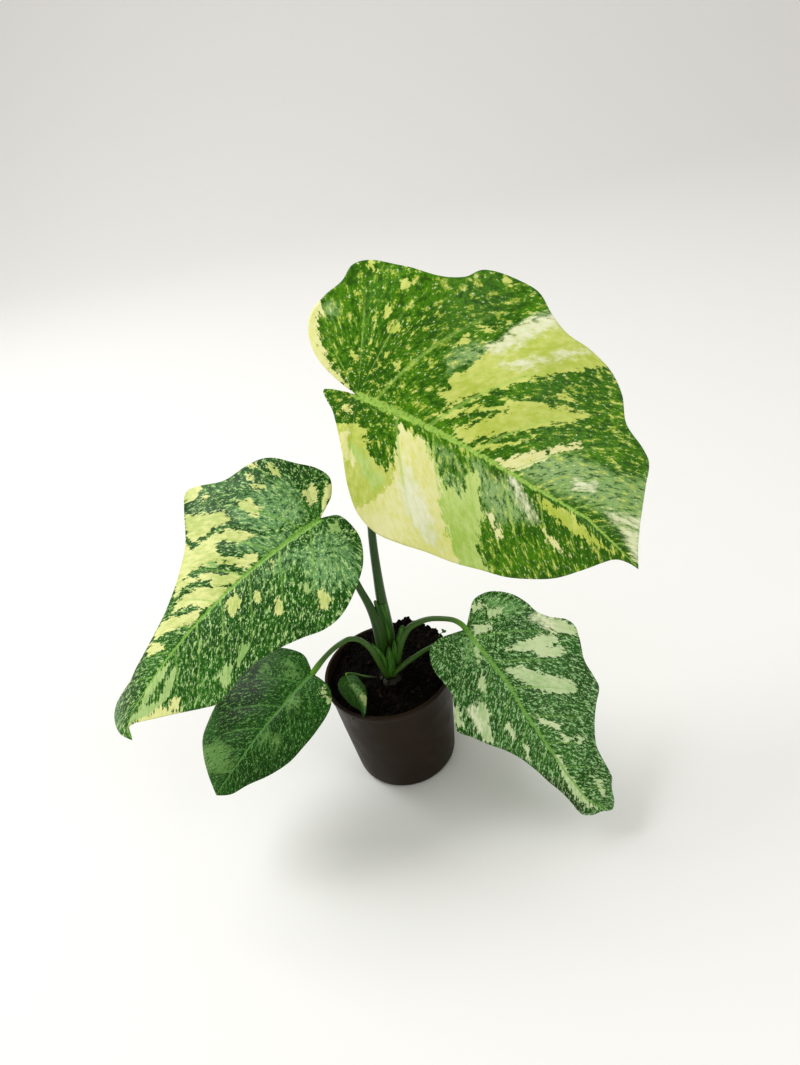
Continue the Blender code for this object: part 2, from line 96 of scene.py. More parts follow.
def brown_plastic():
    """Moulded polypropylene: satin, with faint flow bands and splashes of dried peat."""
    material, tree, shader = start_material("brown_polypropylene", 0.42, 1.49)
    place = node(tree, "ShaderNodeTexCoord").outputs["Object"]
    bands = node(tree, "ShaderNodeMapping", inputs={0: place, "Scale": (60, 60, 9)})
    flow = node(tree, "ShaderNodeTexNoise", inputs={0: bands.outputs[0], "Scale": 1.0, "Detail": 3})
    tone = node(tree, "ShaderNodeMix", {"data_type": "RGBA"},
                {0: flow.outputs[0], 6: srgb("#1e1309"), 7: srgb("#261a0d")})
    dust = node(tree, "ShaderNodeTexNoise", inputs={0: place, "Scale": 55, "Detail": 8,
                                                    "Roughness": 0.7})
    dusty = node(tree, "ShaderNodeMapRange", inputs={0: dust.outputs[0], 1: 0.52, 2: 0.75, 4: 0.3})
    dulled = node(tree, "ShaderNodeMix", {"data_type": "RGBA"},
                  {0: dusty.outputs[0], 6: tone.outputs[2], 7: srgb("#33261a")})
    specks = node(tree, "ShaderNodeTexVoronoi", inputs={0: place, "Scale": 260})
    crumb = node(tree, "ShaderNodeMapRange", inputs={0: specks.outputs[0], 1: 0.10, 2: 0.17, 3: 0.9,
                                                     4: 0})
    lucky = node(tree, "ShaderNodeMath", {"operation": "GREATER_THAN"},
                 {0: dust.outputs[0], 1: 0.56})
    spot = node(tree, "ShaderNodeMath", {"operation": "MULTIPLY"},
                {0: crumb.outputs[0], 1: lucky.outputs[0]})
    colour = node(tree, "ShaderNodeMix", {"data_type": "RGBA"},
                  {0: spot.outputs[0], 6: dulled.outputs[2], 7: srgb("#1d140d")})
    tree.links.new(colour.outputs[2], shader.inputs["Base Color"])
    rough = node(tree, "ShaderNodeMapRange", inputs={0: dust.outputs[0], 1: 0.3, 2: 0.75, 3: 0.36,
                                                     4: 0.6})
    tree.links.new(rough.outputs[0], shader.inputs["Roughness"])
    grain = node(tree, "ShaderNodeTexNoise", inputs={0: place, "Scale": 900, "Detail": 2})
    bump = node(tree, "ShaderNodeBump", inputs={"Strength": 0.12, "Distance": 0.0002,
                                                "Height": grain.outputs[0]})
    tree.links.new(bump.outputs[0], shader.inputs["Normal"])
    shader.inputs["Specular IOR Level"].default_value = 0.1
    return material


def turned_mesh(name, profile, turns):
    """Closed body of revolution; the first and last profile points lie on the axis."""
    mesh = bpy.data.meshes.new(name)
    verts = []
    rings = []
    for radius, height in profile:
        if radius == 0:
            rings.append([len(verts)] * turns)
            verts.append((0, 0, height * MM))
            continue
        rings.append(list(range(len(verts), len(verts) + turns)))
        for k in range(turns):
            angle = 2 * math.pi * k / turns
            verts.append((radius * math.cos(angle) * MM, radius * math.sin(angle) * MM, height * MM))
    faces = []
    for inner, outer in zip(rings, rings[1:]):
        for k in range(turns):
            after = (k + 1) % turns
            corners = [inner[k], outer[k], outer[after], inner[after]]
            faces.append(list(dict.fromkeys(corners)))
    mesh.from_pydata(verts, [], faces)
    mesh.update()
    bm = bmesh.new()
    bm.from_mesh(mesh)
    bmesh.ops.recalc_face_normals(bm, faces=bm.faces)
    bm.to_mesh(mesh)
    bm.free()
    return mesh


pot = new_object("pot_body", turned_mesh("pot_body", POT_PROFILE, POT_TURNS), brown_plastic())
drills = []
for index in range(DRAIN_HOLES):
    angle = 2 * math.pi * (index + 0.42) / DRAIN_HOLES
    drill = bmesh.new()
    bmesh.ops.create_cone(drill, cap_ends=True, segments=28, radius1=4.5 * MM, radius2=4.5 * MM,
                          depth=6 * MM, matrix=Matrix.Translation(
                              (24 * MM * math.cos(angle), 24 * MM * math.sin(angle), 1.5 * MM)))
    drill_mesh = bpy.data.meshes.new("drill")
    drill.to_mesh(drill_mesh)
    drill.free()
    drills.append(new_object("drill", drill_mesh, pot.data.materials[0]))
    hole = pot.modifiers.new("drain hole", "BOOLEAN")
    hole.object = drills[-1]
    hole.solver = "EXACT"
bpy.context.view_layer.update()
drilled = bpy.data.meshes.new_from_object(pot.evaluated_get(bpy.context.evaluated_depsgraph_get()))
pot.modifiers.clear()
pot.data = drilled
for drill in drills:
    bpy.data.objects.remove(drill)
pot.data.shade_smooth()
pot.data.set_sharp_from_angle(angle=math.radians(40))
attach(pot, "root")
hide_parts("pot")

# Soil
# Dark peat mix that fills the pot, a little heaped at the back on the right.
# It is loose: clods, crumbs and slivers of bark lie on it, some of them on the rim.
SOIL_LEVEL = 87.0
SOIL_HEAP = 9.0
SOIL_RIM_RADIUS = 46.7
SOIL_RINGS = 70
SOIL_SIDES = 220
CROWN_CENTRE = (0.8, -5.5)


def soil_top(x, y):
    """Height of the soil in mm: the heap, lumps, a low mound round the crown, and grit."""
    towards_heap = (0.45 * x + 0.9 * y) / 48.06
    heap = min(max(towards_heap + 0.15, 0), 1) ** 2
    lumps = noise.noise(Vector((x / 9, y / 9, 3.7))) * 2.0
    clods = noise.noise(Vector((x / 3.1, y / 3.1, 8.1))) * 1.1
    grit = noise.noise(Vector((x / 1.1, y / 1.1, 1.4))) * 0.45
    from_crown = math.hypot(x - CROWN_CENTRE[0], y - CROWN_CENTRE[1])
    mound = 8.5 * math.exp(-(from_crown / 10.5) ** 2)
    return SOIL_LEVEL + SOIL_HEAP * heap + lumps + clods + grit + mound


def soil_body():
    """Closed body of soil, with its top in fine rings."""
    verts = [(0, 0, soil_top(0, 0) * MM)]
    rings = []
    stations = [(SOIL_RIM_RADIUS * (k + 1) / SOIL_RINGS, None) for k in range(SOIL_RINGS)]
    stations += [(44.4, 62), (41.8, 35), (39.2, 8), (37.5, 5), (33, 2.6)]
    for radius, height in stations:
        rings.append(list(range(len(verts), len(verts) + SOIL_SIDES)))
        for side in range(SOIL_SIDES):
            angle = 2 * math.pi * side / SOIL_SIDES
            x, y = radius * math.cos(angle), radius * math.sin(angle)
            verts.append((x * MM, y * MM, (soil_top(x, y) if height is None else height) * MM))
    faces = [(0, rings[0][k], rings[0][(k + 1) % SOIL_SIDES]) for k in range(SOIL_SIDES)]
    for inner, outer in zip(rings, rings[1:]):
        for k in range(SOIL_SIDES):
            after = (k + 1) % SOIL_SIDES
            faces.append((inner[k], outer[k], outer[after], inner[after]))
    faces.append(tuple(reversed(rings[-1])))
    mesh = bpy.data.meshes.new("soil_bed")
    mesh.from_pydata(verts, [], faces)
    mesh.shade_smooth()
    return mesh


def damp_peat():
    """Peat: matt and near black, each crumb a slightly different brown."""
    material, tree, shader = start_material("damp_peat", 0.93, 1.4)
    shader.inputs["Specular IOR Level"].default_value = 0.12
    place = node(tree, "ShaderNodeTexCoord").outputs["Object"]
    crumbs = node(tree, "ShaderNodeTexVoronoi", {"feature": "F1"}, {0: place, "Scale": 420})
    broad = node(tree, "ShaderNodeTexNoise", inputs={0: place, "Scale": 120, "Detail": 6,
                                                     "Roughness": 0.7})
    single = node(tree, "ShaderNodeSeparateColor", inputs={0: crumbs.outputs["Color"]})
    ramp = node(tree, "ShaderNodeValToRGB", inputs={0: single.outputs[0]})
    stops = ramp.color_ramp.elements
    stops[0].position, stops[0].color = 0.0, srgb("#050302")
    stops[1].position, stops[1].color = 1.0, srgb("#38261a")
    for position, colour in ((0.55, "#0a0604"), (0.85, "#120c07"), (0.96, "#20150d")):
        stop = stops.new(position)
        stop.color = srgb(colour)
    wet = node(tree, "ShaderNodeMapRange", inputs={0: broad.outputs[0], 1: 0.35, 2: 0.65, 3: 0.75,
                                                   4: 0.0})
    colour = node(tree, "ShaderNodeMix", {"data_type": "RGBA"},
                  {0: wet.outputs[0], 6: ramp.outputs[0], 7: srgb("#060402")})
    tree.links.new(colour.outputs[2], shader.inputs["Base Color"])
    fine = node(tree, "ShaderNodeTexNoise", inputs={0: place, "Scale": 1400, "Detail": 4})
    bump = node(tree, "ShaderNodeBump", inputs={"Strength": 0.8, "Distance": 0.0004,
                                                "Height": fine.outputs[0]})
    tree.links.new(bump.outputs[0], shader.inputs["Normal"])
    return material


def scattered(name, ground, material, sizes):
    """Crumbs strewn over a surface by a node tree, as one plain mesh."""
    tree = bpy.data.node_groups.new(name, "GeometryNodeTree")
    face = tree.interface
    face.new_socket("Ground", in_out="INPUT", socket_type="NodeSocketGeometry")
    for label, kind, value in sizes:
        socket = face.new_socket(label, in_out="INPUT", socket_type=kind)
        socket.default_value = value
    face.new_socket("Crumbs", in_out="OUTPUT", socket_type="NodeSocketGeometry")
    given = node(tree, "NodeGroupInput").outputs
    points = node(tree, "GeometryNodeDistributePointsOnFaces", inputs={
        "Mesh": given["Ground"], "Density": given["Per square metre"], "Seed": given["Seed"]})
    crumb = node(tree, "GeometryNodeMeshIcoSphere", inputs={"Radius": 1.0,
                                                            "Subdivisions": given["Fineness"]})
    warp = node(tree, "ShaderNodeTexNoise", {"noise_dimensions": "3D"}, {"Scale": 1.3})
    centred = node(tree, "ShaderNodeVectorMath", {"operation": "SUBTRACT"},
                   {0: warp.outputs["Color"], 1: (0.5, 0.5, 0.5)})
    pushed = node(tree, "ShaderNodeVectorMath", {"operation": "SCALE"},
                  {0: centred.outputs[0], "Scale": 1.6})
    rough = node(tree, "GeometryNodeSetPosition", inputs={"Geometry": crumb.outputs[0],
                                                          "Offset": pushed.outputs[0]})
    size = node(tree, "FunctionNodeRandomValue", {"data_type": "FLOAT"},
                {2: given["Smallest"], 3: given["Largest"], 8: 3})
    skew = node(tree, "FunctionNodeRandomValue", {"data_type": "FLOAT_VECTOR"},
                {0: (0.45, 0.45, 0.35), 1: given["Longest stretch"], 8: 5})
    scale = node(tree, "ShaderNodeVectorMath", {"operation": "SCALE"},
                 {0: skew.outputs[0], "Scale": size.outputs[1]})
    turn = node(tree, "FunctionNodeRandomValue", {"data_type": "FLOAT_VECTOR"},
                {0: (0, 0, 0), 1: (6.28, 6.28, 6.28), 8: 9})
    spin = node(tree, "FunctionNodeEulerToRotation", inputs={0: turn.outputs[0]})
    placed = node(tree, "GeometryNodeInstanceOnPoints", inputs={
        "Points": points.outputs[0], "Instance": rough.outputs[0], "Rotation": spin.outputs[0],
        "Scale": scale.outputs[0]})
    real = node(tree, "GeometryNodeRealizeInstances", inputs={0: placed.outputs[0]})
    dressed = node(tree, "GeometryNodeSetMaterial", inputs={"Geometry": real.outputs[0],
                                                            "Material": material})
    node(tree, "NodeGroupOutput", inputs={0: dressed.outputs[0]})
    holder = bpy.data.objects.new(name, ground)
    bpy.context.scene.collection.objects.link(holder)
    strewer = holder.modifiers.new("strew", "NODES")
    strewer.node_group = tree
    return made_plain(name, holder, material)


def made_plain(name, holder, material):
    """Turns what an object's node tree makes into a plain mesh piece, and drops the object."""
    bpy.context.view_layer.update()
    shaped = holder.evaluated_get(bpy.context.evaluated_depsgraph_get())
    mesh = bpy.data.meshes.new_from_object(shaped, preserve_all_data_layers=True,
                                           depsgraph=bpy.context.evaluated_depsgraph_get())
    holder.modifiers.clear()
    bpy.data.objects.remove(holder)
    mesh.name = name
    return new_object(name, mesh, material)


peat = damp_peat()
soil = new_object("soil_bed", soil_body(), peat)
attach(soil, "root")
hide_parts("soil")
top = bmesh.new()
top.from_mesh(soil.data)
bmesh.ops.delete(top, geom=[f for f in top.faces if f.calc_center_median().z < 0.080], context="FACES")
ground = bpy.data.meshes.new("soil_top")
top.to_mesh(ground)
top.free()
crumb_kinds = {
    "soil_grit": (4.2e5, 0.0004, 0.0013, (1.0, 1.0, 1.0), 1, 4),
    "soil_clods": (2.4e4, 0.0014, 0.0034, (1.0, 1.0, 0.9), 2, 7),
    "soil_bark": (1.6e4, 0.0008, 0.0022, (3.2, 0.8, 0.45), 1, 11),
}
for kind, (density, smallest, largest, stretch, fineness, seed) in crumb_kinds.items():
    crumbs = scattered(kind, ground, peat, [
        ("Per square metre", "NodeSocketFloat", density), ("Smallest", "NodeSocketFloat", smallest),
        ("Largest", "NodeSocketFloat", largest), ("Longest stretch", "NodeSocketVector", stretch),
        ("Fineness", "NodeSocketInt", fineness), ("Seed", "NodeSocketInt", seed)])
    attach(crumbs, "root")

# Clods on the rim
# Torn pieces of the same peat that lie on the rim at the back, the tallest of them pointed.
# Each is (x, y, z of its middle, width, height) in mm.
RIM_LUMPS = [(20.5, 44.5, 97.5, 7.5, 11), (14.5, 46.5, 96.0, 6.0, 6.5), (26.0, 41.5, 96.0, 6.5, 7.5),
             (31.0, 38.5, 95.5, 6.5, 6.0), (36.0, 34.5, 95.0, 6.5, 7.0), (40.5, 29.5, 95.0, 6.0, 7.0),
             (44.0, 24.0, 94.0, 5.5, 6.0), (9.0, 47.0, 94.6, 6.0, 4.5), (-20.0, 43.5, 92.8, 6.0, 4.0),
             (-33.0, 34.0, 92.4, 5.0, 3.6), (46.3, 17.0, 93.2, 4.5, 4.5), (22.5, 40.5, 94.0, 7.0, 8.0)]
lumps = bmesh.new()
for x, y, z, width, height in RIM_LUMPS:
    lump = bmesh.ops.create_icosphere(lumps, subdivisions=4, radius=0.5)["verts"]
    for vert in lump:
        rough = noise.noise(vert.co * 2.6 + Vector((x, y, z)))
        fine = noise.noise(vert.co * 7 + Vector((y, z, x)))
        spread = 1 + 0.55 * rough + 0.3 * fine - max(vert.co.z, 0) * 0.9
        vert.co = Vector((x + vert.co.x * width * spread, y + vert.co.y * width * spread,
                          z + vert.co.z * height * (1 + 0.35 * rough + 0.25 * fine))) * MM
rim_lumps = bpy.data.meshes.new("rim_clods")
lumps.to_mesh(rim_lumps)
lumps.free()
rim_clods = new_object("rim_clods", rim_lumps, peat)
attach(rim_clods, "root")

# Crown
# Short thick stem of the plant, from which every leaf stalk grows.
# It stands in the soil with only its knobbly top free, ringed by the scars of old sheaths.
CROWN_PROFILE = [(0, 94.6), (3.5, 94.5), (6.4, 93.8), (8.4, 92.2), (9.6, 89.4), (10.1, 85), (9.8, 79),
                 (8.8, 72), (6, 66), (0, 65.4)]


def crown_rind():
    """Corky green stem: dull, brown in its furrows."""
    material, tree, shader = start_material("corky_green_stem", 0.7, 1.42)
    place = node(tree, "ShaderNodeTexCoord").outputs["Object"]
    patchy = node(tree, "ShaderNodeTexNoise", inputs={0: place, "Scale": 260, "Detail": 6})
    colour = node(tree, "ShaderNodeMix", {"data_type": "RGBA"},
                  {0: patchy.outputs[0], 6: srgb("#0f0b06"), 7: srgb("#2a2a12")})
    tree.links.new(colour.outputs[2], shader.inputs["Base Color"])
    bump = node(tree, "ShaderNodeBump", inputs={"Strength": 0.6, "Distance": 0.0005,
                                                "Height": patchy.outputs[0]})
    tree.links.new(bump.outputs[0], shader.inputs["Normal"])
    return material


crown_mesh = turned_mesh("crown_stub", CROWN_PROFILE, 64)
for vert in crown_mesh.vertices:
    knob = noise.noise(vert.co * 260) * 0.0009
    outward = Vector((vert.co.x, vert.co.y, 0)).normalized() if vert.co.xy.length > 1e-5 else Vector()
    vert.co = vert.co + outward * knob + Vector((CROWN_CENTRE[0] * MM, CROWN_CENTRE[1] * MM, 0))
crown_mesh.shade_smooth()
crown = new_object("crown_stub", crown_mesh, crown_rind())
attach(crown, "root")
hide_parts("crown")

# Leaf stalks
# Each leaf stands on a fleshy green stalk that tapers upwards and is sheathed at its foot,
# where the older stalks clasp the next ones. Five carry the blades, the spare one an old tip.
STALKS = {
    "large": [
        (4.0, 3.2, 86, 3.9), (4.0, 3.2, 97, 3.9), (5.0, 3.2, 107, 3.9), (6.1, 3.2, 118, 3.9),
        (7.0, 3, 130, 4.0), (7.2, 2.3, 145, 4.0), (7.3, 1, 165, 3.8), (8.4, 0, 186, 3.3),
        (9.7, -1, 206, 3.0), (11, -2, 221, 2.8), (12.6, -3.5, 237, 2.7), (16, -6, 285, 2.6),
        (19, -10, 314, 2.6), (20.0, -15.5, 327.5, 2.7), (21.9, -19.5, 333.2, 2.4)],
    "left": [
        (-2.4, -2.6, 86, 3.6), (-2.4, -2.6, 97, 3.6), (-1.6, -2.6, 112, 3.6),
        (-0.9, -2.6, 124, 3.7), (-0.4, -2.6, 136, 3.8), (-0.5, -2.6, 147, 3.6),
        (-1.5, -2.6, 157.5, 3.2), (-3.0, -3, 167, 2.9), (-5.4, -4, 179, 2.6),
        (-8.6, -5.5, 197, 2.5), (-13.5, -8.5, 224, 2.5), (-17.2, -12.2, 243, 2.6),
        (-18.8, -14.8, 251, 2.3)],
    "small": [
        (-0.6, -9.2, 86, 2.3), (-1.2, -9.2, 95, 2.4), (-3.1, -9.4, 105, 2.4),
        (-5.3, -10.5, 117, 2.4), (-7.5, -12, 128, 2.3), (-11, -13, 137, 2.1),
        (-15.2, -14.5, 143.5, 1.9), (-20.9, -15.5, 146.6, 1.9), (-26.2, -16, 145.3, 1.9),
        (-31.6, -16.3, 142.6, 1.9), (-37.3, -16.3, 138.4, 1.9), (-43, -16, 133, 2.0),
        (-48.5, -16.8, 127.8, 2.3), (-53.4, -17.8, 122.9, 2.2)],
    "right": [
        (6.8, -4.3, 86, 2.7), (6.8, -4.3, 95, 2.7), (8.2, -4.6, 103, 2.6), (10.9, -5, 113, 2.6),
        (14.6, -5.2, 123.6, 2.6), (18.9, -5.5, 132, 2.5), (24, -6.2, 138, 2.4),
        (31, -7.5, 142, 2.2), (38.5, -10, 145, 2.0), (46.5, -13.5, 146.3, 1.9),
        (54.5, -18.5, 147.3, 1.9), (59.6, -22.6, 145.4, 2.0), (62.2, -25.2, 141.9, 2.0)],
    "spare": [
        (2.6, -9.4, 86, 2.3), (2.6, -9.4, 92.5, 2.3), (4.6, -10, 98.4, 2.2), (8.8, -10.6, 102.5, 2.2),
        (14.3, -10.2, 106.3, 2.1), (21.6, -8, 108.6, 1.9), (29.1, -4.5, 109.4, 1.7),
        (35, -2.5, 110, 1.5), (43, -1, 113, 0.9)],
    "tiny": [
        (-7.2, -6.3, 86, 1.1), (-7.2, -6.3, 90.8, 1.0), (-9, -6.2, 92.8, 0.95),
        (-11.4, -6, 94.2, 0.9), (-16.2, -5.8, 96, 0.9), (-20.6, -5, 97.8, 0.8),
        (-26, -3.2, 99.6, 0.75), (-30.3, -2.9, 101, 0.7), (-31.9, -4.2, 102.1, 0.7),
        (-31.9, -5.6, 102.1, 0.6)],
}
STALK_STEP = 1.2
STALK_SIDES = 24


def course_through(points, step):
    """Smooth course through points (rows of any length), about a step apart."""
    points = np.asarray(points, float)
    padded = np.vstack([2 * points[0] - points[1], points, 2 * points[-1] - points[-2]])
    course = []
    for a, b, c, d in zip(padded, padded[1:], padded[2:], padded[3:]):
        pieces = max(2, int(round(np.linalg.norm(c[:3] - b[:3]) / step)))
        t = (np.arange(pieces) / pieces)[:, None]
        course.append(0.5 * (2 * b + (c - a) * t + (2 * a - 5 * b + 4 * c - d) * t ** 2
                             + (3 * b - a - 3 * c + d) * t ** 3))
    course.append(points[-1:])
    return np.vstack(course)


def stalk_tree():
    """Node tree that turns a curve with radii into a fleshy tube with its course stored on it."""
    tree = bpy.data.node_groups.new("stalk", "GeometryNodeTree")
    face = tree.interface
    face.new_socket("Course", in_out="INPUT", socket_type="NodeSocketGeometry")
    face.new_socket("Sides", in_out="INPUT", socket_type="NodeSocketInt")
    face.new_socket("Step", in_out="INPUT", socket_type="NodeSocketFloat")
    face.new_socket("Finish", in_out="INPUT", socket_type="NodeSocketMaterial")
    face.new_socket("Stalk", in_out="OUTPUT", socket_type="NodeSocketGeometry")
    given = node(tree, "NodeGroupInput").outputs
    even = node(tree, "GeometryNodeResampleCurve", {"mode": "LENGTH"},
                {"Curve": given["Course"], "Length": given["Step"]})
    place = node(tree, "GeometryNodeSplineParameter").outputs
    share = node(tree, "GeometryNodeStoreNamedAttribute", {"data_type": "FLOAT", "domain": "POINT"},
                 {"Geometry": even.outputs[0], "Name": "share", "Value": place["Factor"]})
    run = node(tree, "GeometryNodeStoreNamedAttribute", {"data_type": "FLOAT", "domain": "POINT"},
               {"Geometry": share.outputs[0], "Name": "run", "Value": place["Length"]})
    ring = node(tree, "GeometryNodeCurvePrimitiveCircle", inputs={"Resolution": given["Sides"],
                                                                  "Radius": 1.0})
    round_it = node(tree, "GeometryNodeStoreNamedAttribute",
                    {"data_type": "FLOAT", "domain": "POINT"},
                    {"Geometry": ring.outputs[0], "Name": "round", "Value": place["Factor"]})
    tube = node(tree, "GeometryNodeCurveToMesh", inputs={
        "Curve": run.outputs[0], "Profile Curve": round_it.outputs[0],
        "Scale": node(tree, "GeometryNodeInputRadius").outputs[0], "Fill Caps": True})
    soft = node(tree, "GeometryNodeSetShadeSmooth", inputs={"Geometry": tube.outputs[0]})
    real = node(tree, "GeometryNodeRealizeInstances", inputs={0: soft.outputs[0]})
    dressed = node(tree, "GeometryNodeSetMaterial", inputs={"Geometry": real.outputs[0],
                                                            "Material": given["Finish"]})
    node(tree, "NodeGroupOutput", inputs={0: dressed.outputs[0]})
    return tree


def stalk_skin(name, foot, shaft, end):
    """Fleshy stalk: waxy, pale at its foot, lighter at the joint below the blade."""
    material, tree, shader = start_material(name, 0.36, 1.42)
    shader.inputs["Specular IOR Level"].default_value = 0.32
    place = node(tree, "ShaderNodeTexCoord").outputs["Object"]
    share = node(tree, "ShaderNodeAttribute", {"attribute_name": "share"}).outputs["Fac"]
    run = node(tree, "ShaderNodeAttribute", {"attribute_name": "run"}).outputs["Fac"]
    turn = node(tree, "ShaderNodeAttribute", {"attribute_name": "round"}).outputs["Fac"]
    ramp = node(tree, "ShaderNodeValToRGB", inputs={0: share})
    stops = ramp.color_ramp.elements
    stops[0].position, stops[0].color = 0.03, srgb(foot)
    stops[1].position, stops[1].color = 1.0, srgb(end)
    for position, colour in ((0.2, shaft), (0.86, shaft)):
        stop = stops.new(position)
        stop.color = srgb(colour)
    height = node(tree, "ShaderNodeSeparateXYZ", inputs={0: place}).outputs[2]
    earthy = node(tree, "ShaderNodeMapRange", {"interpolation_type": "SMOOTHSTEP"},
                  {0: height, 1: 0.0945, 2: 0.098, 3: 1.0, 4: 0.0})
    along = node(tree, "ShaderNodeCombineXYZ", inputs={0: turn, 1: run})
    grain = node(tree, "ShaderNodeMapping", inputs={0: along.outputs[0], "Scale": (26, 45, 1)})
    streak = node(tree, "ShaderNodeTexNoise", inputs={0: grain.outputs[0], "Scale": 1.0,
                                                      "Detail": 4})
    freckle = node(tree, "ShaderNodeTexNoise", inputs={0: place, "Scale": 700, "Detail": 2})
    light = node(tree, "ShaderNodeMapRange", inputs={0: streak.outputs[0], 1: 0.35, 2: 0.72,
                                                     4: 0.35})
    spots = node(tree, "ShaderNodeMapRange", inputs={0: freckle.outputs[0], 1: 0.60, 2: 0.68,
                                                     4: 0.25})
    pale = node(tree, "ShaderNodeMath", {"operation": "MAXIMUM"},
                {0: light.outputs[0], 1: spots.outputs[0]})
    colour = node(tree, "ShaderNodeMix", {"data_type": "RGBA", "blend_type": "SCREEN"},
                  {0: pale.outputs[0], 6: ramp.outputs[0], 7: srgb("#3f5a22")})
    soiled = node(tree, "ShaderNodeMix", {"data_type": "RGBA"},
                  {0: earthy.outputs[0], 6: colour.outputs[2], 7: srgb("#140d07")})
    tree.links.new(soiled.outputs[2], shader.inputs["Base Color"])
    bump = node(tree, "ShaderNodeBump", inputs={"Strength": 0.25, "Distance": 0.0003,
                                                "Height": streak.outputs[0]})
    tree.links.new(bump.outputs[0], shader.inputs["Normal"])
    return material


stalk_nodes = stalk_tree()
stalk_inputs = {item.name: item.identifier for item in stalk_nodes.interface.items_tree}
deep_green = stalk_skin("waxy_green_stalk", "#3a5218", "#1f4209", "#3a661a")
arch_green = stalk_skin("waxy_pale_stalk", "#2a3f14", "#3a5c22", "#5f9420")


def grown_stalk(name, route, skin):
    """Plain mesh piece of a stalk along a route of (x, y, z, radius) in mm."""
    path = bpy.data.curves.new(name, "CURVE")
    path.dimensions = "3D"
    spline = path.splines.new("POLY")
    course = course_through(route, STALK_STEP)
    spline.points.add(len(course) - 1)
    for point, (x, y, z, radius) in zip(spline.points, course):
        point.co = (x * MM, y * MM, z * MM, 1)
        point.radius = max(radius, 0.05) * MM
    holder = bpy.data.objects.new(name, path)
    bpy.context.scene.collection.objects.link(holder)
    grower = holder.modifiers.new("grow", "NODES")
    grower.node_group = stalk_nodes
    grower[stalk_inputs["Sides"]] = STALK_SIDES
    grower[stalk_inputs["Step"]] = STALK_STEP * MM
    grower[stalk_inputs["Finish"]] = skin
    return made_plain(name, holder, skin)


for name, route in STALKS.items():
    skin = arch_green if name in ("small", "right", "spare", "tiny") else deep_green
    stalk = grown_stalk("stalk_" + name, route, skin)
    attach(stalk, "root")
    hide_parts("petiole_" + name)

# Sheaths
# Every stalk's foot opens into a thin wing that wraps the next younger stalk. The wings end in
# blunt or pointed free tips; they are soft, grown from the stalks, and paler than these.
WINGS = {
    "web": [(0.6, -2.2, 112, 2.6), (2.4, -1.4, 138, 2.6), (3.1, -1.0, 152, 2.2),
            (2.9, -1.2, 160, 1.6), (2.5, -1.6, 164.5, 1.2), (2.4, -1.7, 165.5, 0.3)],
    "bud": [(6.2, -5.6, 104, 2.0), (7.6, -6.6, 115, 2.3), (8.8, -7.0, 122, 1.8),
            (9.4, -7.2, 127, 1.0), (9.6, -7.3, 129, 0.2)],
    "flap": [(0.6, -9.4, 98, 1.8), (-0.8, -10.0, 112, 1.9), (-2.6, -10.6, 122, 1.7),
             (-5.0, -11, 129, 1.1), (-6.3, -11.2, 134, 0.25)],
    "spire": [(7.5, -4, 100, 2.8), (9.7, -4.2, 112, 2.8), (12.9, -4.2, 124, 2.5),
              (16.0, -4.2, 133, 2.1), (17.9, -4.3, 137.4, 1.5), (18.6, -4.3, 138.6, 0.6)],
    "gusset": [(1.4, -9.6, 92, 1.6), (1.5, -9.6, 97, 2.6), (2.2, -8.8, 102, 3.9),
               (3.0, -8.0, 107, 4.0), (3.6, -7.2, 112, 3.2), (4.2, -6.6, 118, 2.2), (4.6, -6.2, 123, 0.6)],
}
STRIP = {"low": 124, "high": 162, "facing": -104, "spread": (30, 46, 58), "gap": 0.05,
         "thickness": 0.45}


def strip_mesh(name, route, low, high, facing, spread, gap, thickness):
    """Thin strip of sheath lying on a stalk between two heights."""
    course = course_through(route, 0.8)
    course = course[(course[:, 2] >= low) & (course[:, 2] <= high)]
    ahead = np.gradient(course[:, :3], axis=0)
    ahead /= np.linalg.norm(ahead, axis=1)[:, None]
    turn = np.radians(facing)
    outward = np.array([math.cos(turn), math.sin(turn), 0])
    outward = outward - ahead * (ahead @ outward)[:, None]
    outward /= np.linalg.norm(outward, axis=1)[:, None]
    sideways = np.cross(ahead, outward)
    rows, columns = len(course), 17
    share = np.linspace(0, 1, rows)
    half = np.radians(np.interp(share, (0, 0.5, 1), spread)) * np.sqrt(np.clip(share * 5, 0.02, 1))
    steps = np.linspace(-1, 1, columns)
    layers = []
    for lift in (gap + thickness, -0.8):
        radius = course[:, 3, None] + lift * (1 - 0.6 * steps ** 4)
        angles = half[:, None] * steps
        layers.append(course[:, None, :3] + outward[:, None] * (np.cos(angles) * radius)[..., None]
                      + sideways[:, None] * (np.sin(angles) * radius)[..., None])
    verts = np.concatenate([layer.reshape(-1, 3) for layer in layers]) * MM
    inner = rows * columns
    faces = []
    for k in range(rows - 1):
        for j in range(columns - 1):
            a, b = k * columns + j, (k + 1) * columns + j
            faces.append((a, a + 1, b + 1, b))
            faces.append((inner + a, inner + b, inner + b + 1, inner + a + 1))
    rim = [k * columns for k in range(rows)] + [inner - columns + j for j in range(1, columns)]
    rim += [k * columns + columns - 1 for k in range(rows - 2, -1, -1)]
    rim += [j for j in range(columns - 2, 0, -1)]
    for a, b in zip(rim, rim[1:] + rim[:1]):
        faces.append((a, b, inner + b, inner + a))
    mesh = bpy.data.meshes.new(name)
    mesh.from_pydata(verts.tolist(), [], faces)
    bm = bmesh.new()
    bm.from_mesh(mesh)
    bmesh.ops.recalc_face_normals(bm, faces=bm.faces)
    bm.to_mesh(mesh)
    bm.free()
    mesh.shade_smooth()
    mesh.set_sharp_from_angle(angle=math.radians(50))
    return mesh


